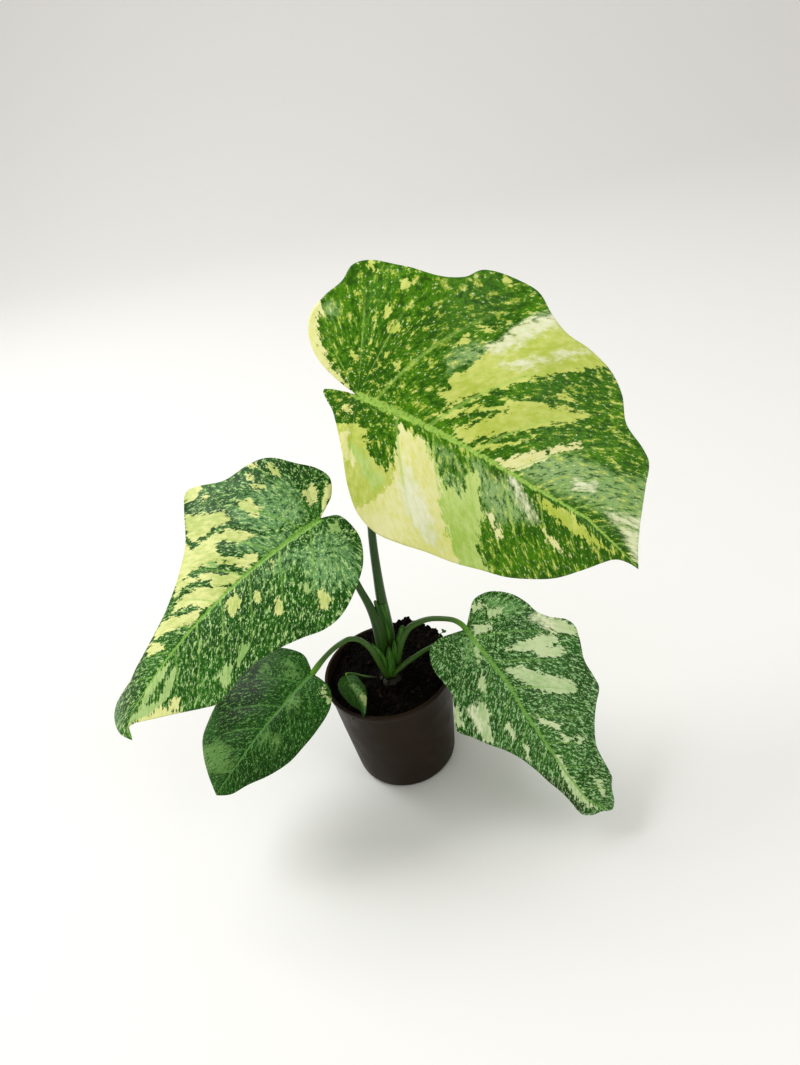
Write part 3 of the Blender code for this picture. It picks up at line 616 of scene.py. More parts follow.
def sheath_skin():
    """Thin green tissue: satin, ribbed lengthwise, translucent and yellower than the stalks."""
    material, tree, shader = start_material("papery_green_sheath", 0.42, 1.4)
    shader.inputs["Specular IOR Level"].default_value = 0.3
    place = node(tree, "ShaderNodeTexCoord").outputs["Object"]
    long = node(tree, "ShaderNodeMapping", inputs={0: place, "Scale": (800, 800, 70)})
    ribs = node(tree, "ShaderNodeTexNoise", inputs={0: long.outputs[0], "Scale": 1.0, "Detail": 3})
    shares = node(tree, "ShaderNodeMapRange", inputs={0: ribs.outputs[0], 1: 0.35, 2: 0.65})
    tone = node(tree, "ShaderNodeMix", {"data_type": "RGBA"},
                {0: shares.outputs[0], 6: srgb("#1c450a"), 7: srgb("#447a1e")})
    height = node(tree, "ShaderNodeSeparateXYZ", inputs={0: place}).outputs[2]
    earthy = node(tree, "ShaderNodeMapRange", {"interpolation_type": "SMOOTHSTEP"},
                  {0: height, 1: 0.095, 2: 0.099, 3: 1.0, 4: 0.0})
    colour = node(tree, "ShaderNodeMix", {"data_type": "RGBA"},
                  {0: earthy.outputs[0], 6: tone.outputs[2], 7: srgb("#140d07")})
    tree.links.new(colour.outputs[2], shader.inputs["Base Color"])
    bump = node(tree, "ShaderNodeBump", inputs={"Strength": 0.5, "Distance": 0.0003,
                                                "Height": ribs.outputs[0]})
    tree.links.new(bump.outputs[0], shader.inputs["Normal"])
    return material


sheath_finish = sheath_skin()
strip = new_object("sheath_strip", strip_mesh("sheath_strip", STALKS["large"], **STRIP),
                   sheath_finish)
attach(strip, "root")
for name, route in WINGS.items():
    wing = grown_stalk("sheath_" + name, route, deep_green if name == "web" else sheath_finish)
    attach(wing, "root")

# Seedling
# A weed that came up in the pot's peat at the back on the right: a thread of a stem bent over
# the rim, with two round seed leaves.
SPROUT = [(41.5, 21, 92, 0.35), (43.5, 22, 96, 0.35), (45.9, 23.6, 97.4, 0.35), (47.6, 24.4, 97.6, 0.32)]
SEED_LEAVES = [((48.6, 24.4, 97.9), (1.7, 1.2, 0.4), 10), ((47.6, 25.2, 98.8), (1.5, 1.1, 0.4), 80)]
sprout = grown_stalk("seedling_stem", SPROUT, arch_green)
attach(sprout, "root")
for number, (centre, sizes, turn) in enumerate(SEED_LEAVES):
    lens_shape = bmesh.new()
    bmesh.ops.create_icosphere(lens_shape, subdivisions=3, radius=MM)
    stretch = Matrix.Diagonal((*sizes, 1))
    move = Matrix.Translation(Vector(centre) * MM) @ Matrix.Rotation(math.radians(turn), 4, "Z")
    bmesh.ops.transform(lens_shape, matrix=move @ Matrix.Rotation(0.5, 4, "X") @ stretch,
                        verts=lens_shape.verts)
    seed_mesh = bpy.data.meshes.new("seedling_leaf_%d" % (number + 1))
    lens_shape.to_mesh(seed_mesh)
    lens_shape.free()
    seed_mesh.shade_smooth()
    seed_leaf = new_object(seed_mesh.name, seed_mesh, sheath_finish)
    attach(seed_leaf, "root")

# Large blade
# Newest and biggest leaf, heart-shaped and still uncut: leathery, under a millimetre thick, with
# a round midrib below. It came out yellow-green with cream fields along its side veins.
# A blade is laid out flat as (along the midrib, out from it) in mm, out positive to the right.
# Its rows follow the side veins: from the stalk into the lobes, then from the midrib onwards.
# Fields of differently coloured tissue, and fields of painted shade, sheen and highlight, are outlined on the same flat
# blade.
FAN_SCALE = 45.0
BLADE_THICKNESS = 0.75
RIB_THICKNESS = 2.1
LARGE = {
    "base": (22, -20, 334),
    "heading": (-27.4, -27.4),
    "pitch": (22.8, 46.6),
    "length": 191.5,
    "roll": (44, 40, 34),
    "fold": ((-8, -2, 4), (0, 6, 14)),
    "curl": ((12, 18, 30), (55, 55, 50)),
    "wave": (4.0, 2.6, 0.6, 2.0),
    "half_width": 95,
    "tip": (193, 0),
    "left": [
        (-15, 4), (-30, 11), (-40, 21), (-44, 33), (-41, 46), (-35, 58), (-33, 70), (-23, 77),
        (-4, 79), (14, 81), (26, 88), (33, 99), (46, 106), (62, 107), (75, 97), (88, 92),
        (104, 96), (120, 97), (132, 88), (142, 71), (158, 65), (166, 60), (171, 45), (179, 24),
        (186, 10)],
    "right": [
        (-10, 1), (-20, 4), (-16, 9), (-9, 15), (4, 34), (14, 51), (27, 66), (44, 73), (62, 72),
        (80, 68), (100, 64), (118, 58), (133, 53), (146, 45), (158, 35), (167, 22), (177, 6),
        (185, 1.5)],
    "rib": [
        (0, 0), (110, 0), (150, -4), (193, 0)],
    "lean": ((74, 38), (62, 38)),
    "veins": (
        (-60, -35, -15, 10, 45, 75, 98, 120, 140, 158, 172),
        (-60, -35, -15, 25, 48, 70, 95, 118, 138, 155, 170)),
    "quilt": 0.9,
    "rib_width": 2.6,
    "step": 2.0,
    "columns": 52,
    "field_reach": 12,
    "fields": [
        
        ("cream", [(-50, -40), (-36, -8), (-16, -4), (-1, 0), (-11, -6), (-20, -9), (-27, -16), (-34, -22), (-39, -33), (-41, -44)]),
        ("lime", [(76, -98), (74, -94), (63, -80), (58, -66), (54, -56), (52, -47), (48, -38), (42, -30), (45, -26), (42, -20), (45, -18), (48, -20), (48, -12), (47, -8), (50, -16), (58, -27), (66, -34), (74, -44), (82, -54), (88, -60), (96, -70), (104, -80), (113, -92), (119, -101), (124, -113), (102, -113), (84, -108)]),
        # The white fields are partly white tissue and partly painted highlight streaks along the blade's folds.
        ("white", [(78, -102), (70, -91), (63, -80), (58, -66), (54, -56), (60, -57), (68, -70), (76, -86), (82, -94)]),
        ("white", [(64, -52), (81, -68), (95, -86), (102, -94), (90, -75), (74, -56)]),
        ("lime", [(57, -6), (65, -12), (70, -20), (76, -28), (71, -26), (62, -18), (54, -10), (48, -8), (54, -16), (63, -22), (72, -28), (78, -35), (85, -41), (96, -46), (104, -50), (112, -55), (124, -61), (117, -52), (113, -46), (104, -37), (96, -28), (84, -18), (74, -8), (68, 0), (64, -2)]),
        ("green", [(58, -8), (58, -14), (72, -24), (80, -30), (75, -24), (67, -14)]),
        ("lime", [(71, -2), (85, -12), (98, -22), (86, -10), (73, 0)]),
        ("cream", [(88, -2), (94, -8), (106, -20), (117, -32), (125, -40), (126, -36), (112, -22), (111, -18), (105, -9), (101, -3), (95, 0)]),
        ("lime", [(98, -55), (100, -60), (104, -60), (109, -60), (104, -55), (100, -53)]),
        ("grey", [(106, -10), (112, -21), (120, -27), (128, -32), (135, -32), (144, -35), (156, -40), (172, -52), (178, -41), (182, -29), (188, -14), (190, -4), (179, -10), (164, -14), (148, -12), (130, -6), (116, -4), (108, -3), (103, -4)]),
        ("white", [(133, -18), (144, -24), (144, -20), (134, -14)]),
        ("white", [(159, -14), (179, -26), (182, -22), (165, -12)]),
        ("white", [(170, -12), (182, -18), (190, -3), (180, -7)]),
        ("lime", [(113, 0), (118, 0), (127, 2), (140, 0), (156, 2), (168, 3), (176, 2), (162, 6), (149, 8), (138, 8), (127, 6)]),
        ("white", [(100, 2), (105, 3), (110, 6), (118, 10), (126, 14), (120, 14), (112, 10), (105, 6)]),
        ("cream", [(-2, 21), (2, 20), (6, 28), (12, 34), (14, 38), (8, 38), (1, 30)]),
        ("cream", [(22, 67), (28, 59), (36, 48), (39, 36), (36, 26), (34, 20), (32, 13), (28, 6), (26, 4), (30, 6), (36, 8), (40, 8), (46, 8), (54, 14), (62, 22), (70, 31), (77, 41), (84, 48), (93, 54), (103, 62), (98, 77), (70, 88), (36, 86), (18, 75)]),
        ("lime", [(-8, 21), (3, 16), (10, 15), (15, 22), (18, 26), (24, 30), (30, 32), (34, 32), (35, 26), (32, 14), (28, 6), (38, 6), (53, 10), (74, 32), (93, 50), (116, 68), (102, 84), (72, 94), (32, 90), (5, 66), (-4, 36)]),
        ("sage", [(6, 26), (10, 27), (16, 28), (22, 32), (28, 36), (36, 39), (34, 44), (32, 48), (27, 44), (20, 41), (16, 36), (10, 34), (4, 30)]),
        ("white", [(42, 24), (47, 26), (58, 34), (73, 47), (88, 60), (80, 62), (63, 56), (50, 44), (44, 34)]),
        ("sage", [(41, 8), (49, 8), (56, 14), (62, 18), (65, 22), (71, 26), (72, 23), (76, 23), (82, 28), (81, 22), (77, 16), (78, 9), (77, 6), (85, 12), (92, 22), (99, 28), (102, 37), (106, 46), (113, 50), (126, 59), (116, 68), (101, 72), (86, 58), (69, 40), (54, 23)]),
        ("grey", [(52, 9), (60, 7), (68, 10), (74, 12), (84, 28), (78, 26), (72, 24), (66, 22), (60, 17)]),
        ("green", [(56, 10), (62, 11), (68, 12), (74, 12), (77, 20), (71, 19), (65, 19)]),
        ("grey", [(76, 5), (81, 4), (90, 8), (96, 6), (103, 5), (111, 9), (120, 12), (126, 14), (121, 18), (112, 24), (106, 28), (100, 25), (93, 22), (84, 13)]),
        ("dark", [(86, 5), (92, 1), (102, 4), (109, 9), (106, 11), (98, 10), (92, 10)]),
        ("cream", [(98, 26), (104, 29), (111, 34), (118, 34), (112, 31), (104, 26)]),
        ("cream", [(134, 16), (146, 18), (156, 20), (149, 20), (139, 20)]),
        ("cream", [(-6, 8), (-2, 6), (1, 10), (-2, 12)]),
        ("lime", [(2, -41), (5, -48), (8, -42), (6, -39)]),
        ("lime", [(37, -49), (39, -56), (42, -60), (44, -56), (40, -50)]),
        ("lime", [(-25, -75), (-20, -75), (-18, -71), (-21, -69)]),
        ("lime", [(-3, -72), (1, -74), (4, -70), (0, -67)]),
        ("lime", [(4, -21), (6, -30), (8, -30), (6, -22)]),
        ("lime", [(14, -22), (14, -28), (18, -23)]),
        ("lime", [(-12, -20), (-9, -22), (-7, -19), (-10, -18)]),
        ("lime", [(-6, -50), (-3, -54), (-1, -50), (-2, -47)]),
        ("lime", [(45, -66), (53, -75), (54, -71), (48, -65)]),
        ("lime", [(44, -102), (50, -106), (50, -102)]),
        ("grey", [(-40, -41), (-34, -44), (-30, -40), (-32, -36), (-37, -37)]),
        ("grey", [(39, -46), (47, -56), (54, -56), (52, -46), (44, -40), (42, -34), (38, -39)])],
}


def between(values, share):
    """Smooth course through two or three values."""
    rest = 1 - share
    if len(values) == 2:
        return values[0] * rest + values[1] * share
    return values[0] * rest ** 2 + 2 * values[1] * share * rest + values[2] * share ** 2


def bent_spine(leaf, steps=96):
    """Points, directions, sideways and normal vectors along a bent midrib."""
    share = np.linspace(0, 1, steps + 1)
    heading = np.radians(between(leaf["heading"], share))
    hook = leaf.get("hook", 0) * np.clip((share - 0.8) / 0.2, 0, 1) ** 2
    pitch = np.radians(between(leaf["pitch"], share) + hook)
    ahead = np.stack([np.cos(pitch) * np.cos(heading), np.cos(pitch) * np.sin(heading),
                      -np.sin(pitch)], 1)
    moves = (ahead[1:] + ahead[:-1]) * leaf["length"] / steps / 2
    points = np.vstack([np.zeros(3), np.cumsum(moves, 0)]) + np.array(leaf["base"])
    level = np.cross(ahead, (0, 0, 1))
    level /= np.linalg.norm(level, axis=1)[:, None]
    upright = np.cross(level, ahead)
    roll = np.radians(between(leaf["roll"], share))[:, None]
    normal = upright * np.cos(roll) + level * np.sin(roll)
    sideways = level * np.cos(roll) - upright * np.sin(roll)
    return points, ahead, sideways, normal


def bent(leaf, spine, along, out):
    """Bends flat places on a blade; returns their points."""
    length = leaf["length"]
    share = np.clip(along / length, 0, 1)
    place = share * (len(spine[0]) - 1)
    stations = np.arange(len(spine[0]))
    base, ahead, sideways, normal = [
        np.stack([np.interp(place, stations, part[:, k]) for k in range(3)], -1) for part in spine]
    base = base + ahead * (np.minimum(along, 0) + np.maximum(along - length, 0))[..., None]
    width = np.abs(out)
    right = out >= 0
    fold = np.radians(np.where(right, between(leaf["fold"][1], share),
                               between(leaf["fold"][0], share)))
    curl = np.radians(np.where(right, between(leaf["curl"][1], share),
                               between(leaf["curl"][0], share))) / 100
    slope = fold + curl * width
    across = (np.sin(slope) - np.sin(fold)) / curl
    drop = (np.cos(slope) - np.cos(fold)) / curl
    height, count, left_phase, right_phase = leaf["wave"]
    reach = np.minimum(width / leaf["half_width"], 1.3) ** 2
    swing = np.sin(2 * math.pi * count * along / length + np.where(right, right_phase, left_phase))
    drop = drop + height * reach * swing
    return base + sideways * np.where(right, across, -across)[..., None] + normal * drop[..., None]


def vein_rows(leaf, side):
    """Rows of one half: vein coordinate, start on the midrib, and end on the margin."""
    sign = 1 if side == "right" else -1
    tip = leaf["tip"]
    margin = course_through([(0, 0, 0)] + [(a, sign * o, 0) for a, o in leaf[side]]
                            + [(tip[0], tip[1], 0)], 1.0)[:, :2]
    moves = np.linalg.norm(np.diff(margin, axis=0), axis=1)
    way = np.concatenate([[0], np.cumsum(moves)]) / moves.sum()
    length = leaf["length"]
    out = np.abs(margin[:, 1] - np.interp(margin[:, 0], *zip(*leaf["rib"])))
    lean = leaf["lean"][0 if side == "left" else 1]
    lean = np.radians(lean[0] + (lean[1] - lean[0]) * np.clip(margin[:, 0] / length, 0, 1))
    start = margin[:, 0] - out / np.tan(lean)
    first = np.where(start <= 0)[0].max()
    rising = np.maximum.accumulate(np.maximum(start[first:], 0))
    fine = np.linspace(way[first], 1, 400)
    course = np.interp(fine, way[first:], rising / rising[-1] * length)
    reach = 20
    padded = np.concatenate([2 * course[0] - course[1:reach + 1][::-1], course,
                             2 * course[-1] - course[-reach - 1:-1][::-1]])
    course = np.convolve(padded, np.ones(2 * reach + 1) / (2 * reach + 1), "valid")
    course = (course - course[0]) / (course[-1] - course[0]) * length
    course = 0.93 * course + 0.07 * (fine - fine[0]) / (1 - fine[0]) * length
    step = leaf["step"]
    fan_count = max(6, int(way[first] * moves.sum() / step))
    along_count = max(12, int(length / step * 0.9))
    starts = np.linspace(0, length, along_count + 1)
    ways = np.concatenate([np.linspace(0, way[first], fan_count, endpoint=False),
                           np.interp(starts, course, fine)])
    ends = np.stack([np.interp(ways, way, margin[:, 0]), np.interp(ways, way, margin[:, 1])], 1)
    ends[0] = ends[1] * 0.15
    turn = np.arctan2(np.abs(ends[:fan_count + 1, 1]), ends[:fan_count + 1, 0])
    fan = -np.cumsum(np.abs(np.diff(turn))[::-1])[::-1] * FAN_SCALE
    places = np.concatenate([fan, starts])
    starts = np.concatenate([np.zeros(fan_count), starts])
    return places, starts, ends, fan_count


def inside_distance(polygon, across, up):
    """Distance of points from a polygon's edge, positive inside."""
    corners = np.asarray(polygon, float)
    nearest = np.full(across.shape, 1e9)
    hit = np.zeros(across.shape, bool)
    for (x0, y0), (x1, y1) in zip(corners, np.roll(corners, -1, 0)):
        dx, dy = x1 - x0, y1 - y0
        share = np.clip(((across - x0) * dx + (up - y0) * dy) / (dx * dx + dy * dy), 0, 1)
        nearest = np.minimum(nearest, np.hypot(across - x0 - share * dx, up - y0 - share * dy))
        crosses = (y0 > up) != (y1 > up)
        with np.errstate(divide="ignore", invalid="ignore"):
            hit ^= crosses & (across < x0 + (up - y0) * dx / dy)
    return np.where(hit, nearest, -nearest)


def grown_blade(name, leaf):
    """Finer mesh of a blade: vein rows, sunk veins above, round ribs below, and stored fields of pale tissue and of
    painted shade, sheen and highlight.
    """
    spine = bent_spine(leaf)
    length, rib_depth = leaf["length"], leaf.get("rib_thickness", RIB_THICKNESS)
    columns = leaf["columns"]
    share = (np.arange(columns + 1) / columns) ** 1.15
    flat, rows_at, runs, count_at, sides_of = [], [], [], [], []
    index_grids = []
    total = 0
    for side in ("left", "right"):
        sign = 1 if side == "right" else -1
        places, starts, ends, fan_count = vein_rows(leaf, side)
        rib_out = np.interp(starts, *zip(*leaf["rib"]))
        begin = np.stack([starts, rib_out], 1)
        ease = 0.5 - 0.2 * np.clip(np.arange(len(places)) / fan_count, 0, 1) ** 2
        middle = begin + (ends - begin) * np.stack([ease, np.full(len(ease), 0.5)], 1)
        t = share[None, :, None]
        grid = ((1 - t) ** 2 * begin[:, None] + 2 * t * (1 - t) * middle[:, None]
                + t ** 2 * ends[:, None])
        lengths = np.linalg.norm(ends - begin, axis=1)
        rows = len(places)
        flat.append(grid.reshape(-1, 2))
        rows_at.append(np.repeat(places, columns + 1))
        runs.append((share[None, :] * lengths[:, None]).ravel())
        veins = leaf["veins"][0 if side == "left" else 1]
        number = np.interp(places, veins, np.arange(len(veins)))
        number = number - np.maximum(veins[0] - places, 0) / 20
        number = number + np.maximum(places - veins[-1], 0) / 20
        count_at.append(np.repeat(number, columns + 1))
        sides_of.append(np.full(rows * (columns + 1), sign))
        index = total + np.arange(rows * (columns + 1)).reshape(rows, columns + 1)
        total += index.size
        index_grids.append((index, fan_count))
    flat, rows_at, runs = np.vstack(flat), np.concatenate(rows_at), np.concatenate(runs)
    count_at, sides_of = np.concatenate(count_at), np.concatenate(sides_of)
    shares = np.tile(share, total // (columns + 1))
    centre = np.where(rows_at < 0, 0, rows_at)
    # relief of the upper face
    off_vein = np.abs(count_at - np.round(count_at)) * 2
    rise = np.clip(shares * 3.5, 0, 1) * np.clip((1 - shares) * 4, 0, 1)
    quilt = leaf["quilt"] * (np.sin(off_vein * math.pi / 2) ** 0.8) * rise
    gutter = 0.55 * np.exp(-(runs / 1.6) ** 2) * (1 - centre / length * 0.7)
    upper = bent(leaf, spine, flat[:, 0], flat[:, 1])
    nudge = 0.4
    along_step = bent(leaf, spine, flat[:, 0] + nudge, flat[:, 1]) - upper
    out_step = bent(leaf, spine, flat[:, 0], flat[:, 1] + nudge * sides_of) - upper
    face = np.cross(out_step, along_step) * sides_of[:, None]
    face /= np.linalg.norm(face, axis=1)[:, None] + 1e-12
    taper = 1 - 0.8 * np.clip(centre / length, 0, 1)
    rib = (rib_depth - BLADE_THICKNESS) * np.exp(-(runs / (2.6 * taper + 0.4)) ** 2) * taper
    side_rib = 0.55 * np.exp(-(off_vein * 9) ** 2) * np.clip(1 - shares * 1.1, 0, 1) * taper
    edge = BLADE_THICKNESS * (0.35 + 0.65 * np.clip((1 - shares) * 14, 0, 1) ** 0.6)
    lower = upper - face * (edge + rib + side_rib - quilt * 0.9)[:, None]
    upper = upper + face * (quilt - gutter)[:, None]
    # fields of paler tissue, and of painted shade, sheen and highlight
    fields = {key: np.full(total, -9.0) for key in ("sage", "lime", "cream", "white", "grey",
                                                    "dark", "green")}
    for kind, polygon in leaf["fields"]:
        depth = inside_distance(polygon, flat[:, 0], flat[:, 1])
        fields[kind] = np.maximum(fields[kind], depth)
    left_green = fields.pop("green")
    for key in fields:
        fields[key] = np.clip(np.minimum(fields[key], -left_green) / leaf["field_reach"], -1, 1)
    rib_half = leaf["rib_width"] * (1 - 0.65 * np.clip(centre / length, 0, 1))
    fields["rib"] = np.clip(1.5 - runs / rib_half, -1, 1)
    # join the halves along the midrib, at the stalk and at the tip
    same = np.arange(total)
    (left, left_fan), (right, right_fan) = index_grids
    same[left[:left_fan, 0]] = left[left_fan, 0]
    same[right[:right_fan + 1, 0]] = left[left_fan, 0]
    same[right[right_fan:, 0]] = left[left_fan:, 0]
    same[left[-1, :]] = left[-1, -1]
    same[right[-1, :]] = left[-1, -1]
    verts, faces, sources = [], [], []
    for index, flip in ((left, True), (right, False)):
        for i in range(index.shape[0] - 1):
            for j in range(columns):
                quad = [index[i, j], index[i, j + 1], index[i + 1, j + 1], index[i + 1, j]]
                faces.append(quad[::-1] if flip else quad)
    top = [list(q) for q in faces]
    under = [[k + total for k in reversed(q)] for q in top]
    rim = []
    for index, flip in ((left, True), (right, False)):
        edge_line = list(index[0, :]) + list(index[1:, -1])
        for a, b in zip(edge_line, edge_line[1:]):
            quad = [a, a + total, b + total, b]
            rim.append(quad if not flip else quad[::-1])
    same_all = np.concatenate([same, same + total])
    points = np.vstack([upper, lower]) * MM
    used = {}
    clean, loops_from = [], []
    for quad in top + under + rim:
        merged = []
        source = []
        for corner in quad:
            target = int(same_all[corner])
            if target in merged:
                continue
            merged.append(target)
            source.append(int(corner))
        if len(merged) > 2:
            clean.append(merged)
            loops_from.append(source)
    kept = sorted({k for quad in clean for k in quad})
    number_of = {k: n for n, k in enumerate(kept)}
    mesh = bpy.data.meshes.new(name)
    mesh.from_pydata(points[kept].tolist(), [], [[number_of[k] for k in quad] for quad in clean])
    source = np.array([k for quad in loops_from for k in quad]) % total
    for layer, across, up in (("tissue", rows_at, runs * -sides_of), ("veins", count_at * 10, runs),
                            ("flat", flat[:, 0], flat[:, 1])):
        uv = mesh.uv_layers.new(name=layer)
        values = np.stack([across[source], up[source]], 1) / 100
        uv.data.foreach_set("uv", values.astype(np.float32).ravel())
    origin = np.array(kept) % total
    for key, field in fields.items():
        attribute = mesh.attributes.new(key, "FLOAT", "POINT")
        attribute.data.foreach_set("value", field[origin].astype(np.float32))
    attribute = mesh.attributes.new("underside", "FLOAT", "POINT")
    attribute.data.foreach_set("value", (np.array(kept) >= total).astype(np.float32))
    attribute = mesh.attributes.new("edge", "FLOAT", "POINT")
    attribute.data.foreach_set("value", shares[origin].astype(np.float32))
    mesh.shade_smooth()
    return mesh


def variegated(name, greens, dark, grey, sage, lime, cream, white, rib, speckle, grain_size,
               gloss):
    """Leathery living blade: waxy, mottled, pale fields with ragged edges, lighter ribs, and fields of painted shade,
    sheen and highlight.
    """
    material, tree, shader = start_material(name, gloss, 1.42)
    shader.inputs["Specular IOR Level"].default_value = 0.16
    place = node(tree, "ShaderNodeTexCoord").outputs["Object"]
    tissue = node(tree, "ShaderNodeUVMap", {"uv_map": "tissue"}).outputs[0]
    flat = node(tree, "ShaderNodeUVMap", {"uv_map": "flat"}).outputs[0]
    count = node(tree, "ShaderNodeSeparateXYZ", inputs={
        0: node(tree, "ShaderNodeUVMap", {"uv_map": "veins"}).outputs[0]}).outputs

    def smooth_step(value, low, high, floor=0.0, ceiling=1.0):
        return node(tree, "ShaderNodeMapRange", {"interpolation_type": "SMOOTHSTEP"},
                    {0: value, 1: low, 2: high, 3: floor, 4: ceiling}).outputs[0]

    from_base = node(tree, "ShaderNodeVectorMath", {"operation": "LENGTH"}, {0: flat}).outputs[1]
    near_base = smooth_step(from_base, 0.3, 0.28)

    def sums(kind, a, b, c=0.0):
        return node(tree, "ShaderNodeMath", {"operation": kind}, {0: a, 1: b, 2: c}).outputs[0]

    def noised(layer, across, along, detail, rough):
        spread = node(tree, "ShaderNodeMapping", inputs={
            0: layer, "Scale": (100 / across, 100 / along, 1)})
        return node(tree, "ShaderNodeTexNoise", inputs={
            0: spread.outputs[0], "Scale": 1.0, "Detail": detail, "Roughness": rough}).outputs[0]

    def streaks(across, along, detail, rough=0.55):
        """Noise in the blade's own plane, its grains given in mm across and along the veins."""
        far = noised(tissue, across, along, detail, rough)
        near = noised(flat, across * 1.2, across * 1.2, detail, rough)
        return node(tree, "ShaderNodeMix", {"data_type": "FLOAT"}, {0: near_base, 2: far, 3: near}).outputs[0]

    def mixed(share, below, above, kind="MIX"):
        return node(tree, "ShaderNodeMix", {"data_type": "RGBA", "blend_type": kind},
                    {0: share, 6: below, 7: above}).outputs[2]

    broad = node(tree, "ShaderNodeTexNoise", inputs={0: place, "Scale": 30, "Detail": 4}).outputs[0]
    torn = streaks(3.4 * grain_size, 7.5 * grain_size, 8, 0.68)
    flecks = streaks(1.5 * grain_size, 3.0 * grain_size, 5, 0.62)
    grain = streaks(0.8, 1.7, 2)
    clouds = sums("ADD", sums("MULTIPLY", broad, 0.5), sums("MULTIPLY", flecks, 0.5))
    colour = mixed(smooth_step(clouds, 0.42, 0.58), srgb(greens[0]), srgb(greens[1]))
    ragged = sums("ADD", sums("MULTIPLY", sums("SUBTRACT", torn, 0.5), 1.5),
                  sums("MULTIPLY", sums("SUBTRACT", flecks, 0.5), 0.35))

    def overlaid(colour, key, tone, soft):
        """Lays one stored field over the colour, torn at its edge and clouded inside."""
        field = node(tree, "ShaderNodeAttribute", {"attribute_name": key}).outputs["Fac"]
        share = smooth_step(sums("ADD", field, ragged), -soft, soft)
        cloud = sums("ADD", sums("MULTIPLY", broad, 0.45), sums("MULTIPLY", torn, 0.55))
        shade = mixed(smooth_step(cloud, 0.38, 0.62), srgb(tone[0]), srgb(tone[1]))
        return mixed(share, colour, shade)

    # Dark fields: a dark-green island of tissue on the large blade, painted shadow and shade on the small and right
    # blades.
    colour = overlaid(colour, "dark", dark, 0.3)
    # Grey fields: grey-green tissue, with a painted sheen laid in on the left blade.
    colour = overlaid(colour, "grey", grey, 0.4)
    light_bits = smooth_step(torn, 0.575 - 0.03 * speckle, 0.583 - 0.03 * speckle, 0.0, 0.65)
    colour = mixed(light_bits, colour, srgb(lime[0]))
    pale_bits = smooth_step(torn, 0.645 - 0.05 * speckle, 0.655 - 0.05 * speckle, 0.0, 0.9)
    colour = mixed(pale_bits, colour, srgb(lime[1]))
    pale_flecks = smooth_step(flecks, 0.655 - 0.06 * speckle, 0.675 - 0.06 * speckle, 0.0, 0.85)
    colour = mixed(pale_flecks, colour, srgb(white[0]))
    dark_bits = smooth_step(torn, 0.455, 0.42, 0.0, 0.75)
    colour = mixed(dark_bits, colour, srgb(dark[0]))
    colour = overlaid(colour, "lime", lime, 0.05)
    colour = overlaid(colour, "sage", sage, 0.08)
    colour = overlaid(colour, "cream", cream, 0.05)
    # White fields: white tissue, and on the large blade also painted highlight streaks.
    colour = overlaid(colour, "white", white, 0.3)
    off = sums("PINGPONG", sums("MULTIPLY", count[0], 10.0), 0.5)
    edge = node(tree, "ShaderNodeAttribute", {"attribute_name": "edge"}).outputs["Fac"]
    side_vein = sums("MULTIPLY", smooth_step(off, 0.05, 0.012), smooth_step(edge, 0.95, 0.3))
    rib_field = node(tree, "ShaderNodeAttribute", {"attribute_name": "rib"}).outputs["Fac"]
    rib_edge = sums("ADD", rib_field, sums("MULTIPLY", sums("SUBTRACT", flecks, 0.5), 2.5))
    midrib = smooth_step(rib_edge, 0.1, 0.9)
    veins = sums("MAXIMUM", sums("MULTIPLY", side_vein, 0.55), sums("MULTIPLY", midrib, 0.92))
    feathered = sums("MULTIPLY", veins, smooth_step(flecks, 0.3, 0.55, 0.35, 1.0))
    colour = mixed(feathered, colour, srgb(rib))
    under = node(tree, "ShaderNodeAttribute", {"attribute_name": "underside"}).outputs["Fac"]
    colour = mixed(sums("MULTIPLY", under, 0.45), colour, srgb(grey[1]))
    tree.links.new(colour, shader.inputs["Base Color"])
    tree.links.new(smooth_step(grain, 0.3, 0.7, gloss - 0.06, gloss + 0.08),
                   shader.inputs["Roughness"])
    relief = sums("ADD", sums("MULTIPLY", torn, 0.6), sums("MULTIPLY", grain, 0.4))
    bump = node(tree, "ShaderNodeBump", inputs={"Strength": 0.4, "Distance": 0.0003,
                                                "Height": relief})
    tree.links.new(bump.outputs[0], shader.inputs["Normal"])
    return material


def finished_blade(name, leaf, material):
    """Adds a blade to the frame in place of its plain solid."""
    blade = new_object("blade_" + name, grown_blade("blade_" + name, leaf), material)
    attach(blade, "root")
    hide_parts("leaf_" + name)


large_skin = variegated(
    "waxy_lime_leaf", ("#316602", "#4d8604"), ("#234a02", "#2f5c03"), ("#7aa552", "#98bc78"),
    ("#a8cc54", "#cbe284"), ("#b8cb4a", "#dbe47c"), ("#e3e67e", "#f4f4b4"),
    ("#dfe8b0", "#f6f7d6"), "#a8d25c", 0.7, 0.95, 0.4)
finished_blade("large", LARGE, large_skin)

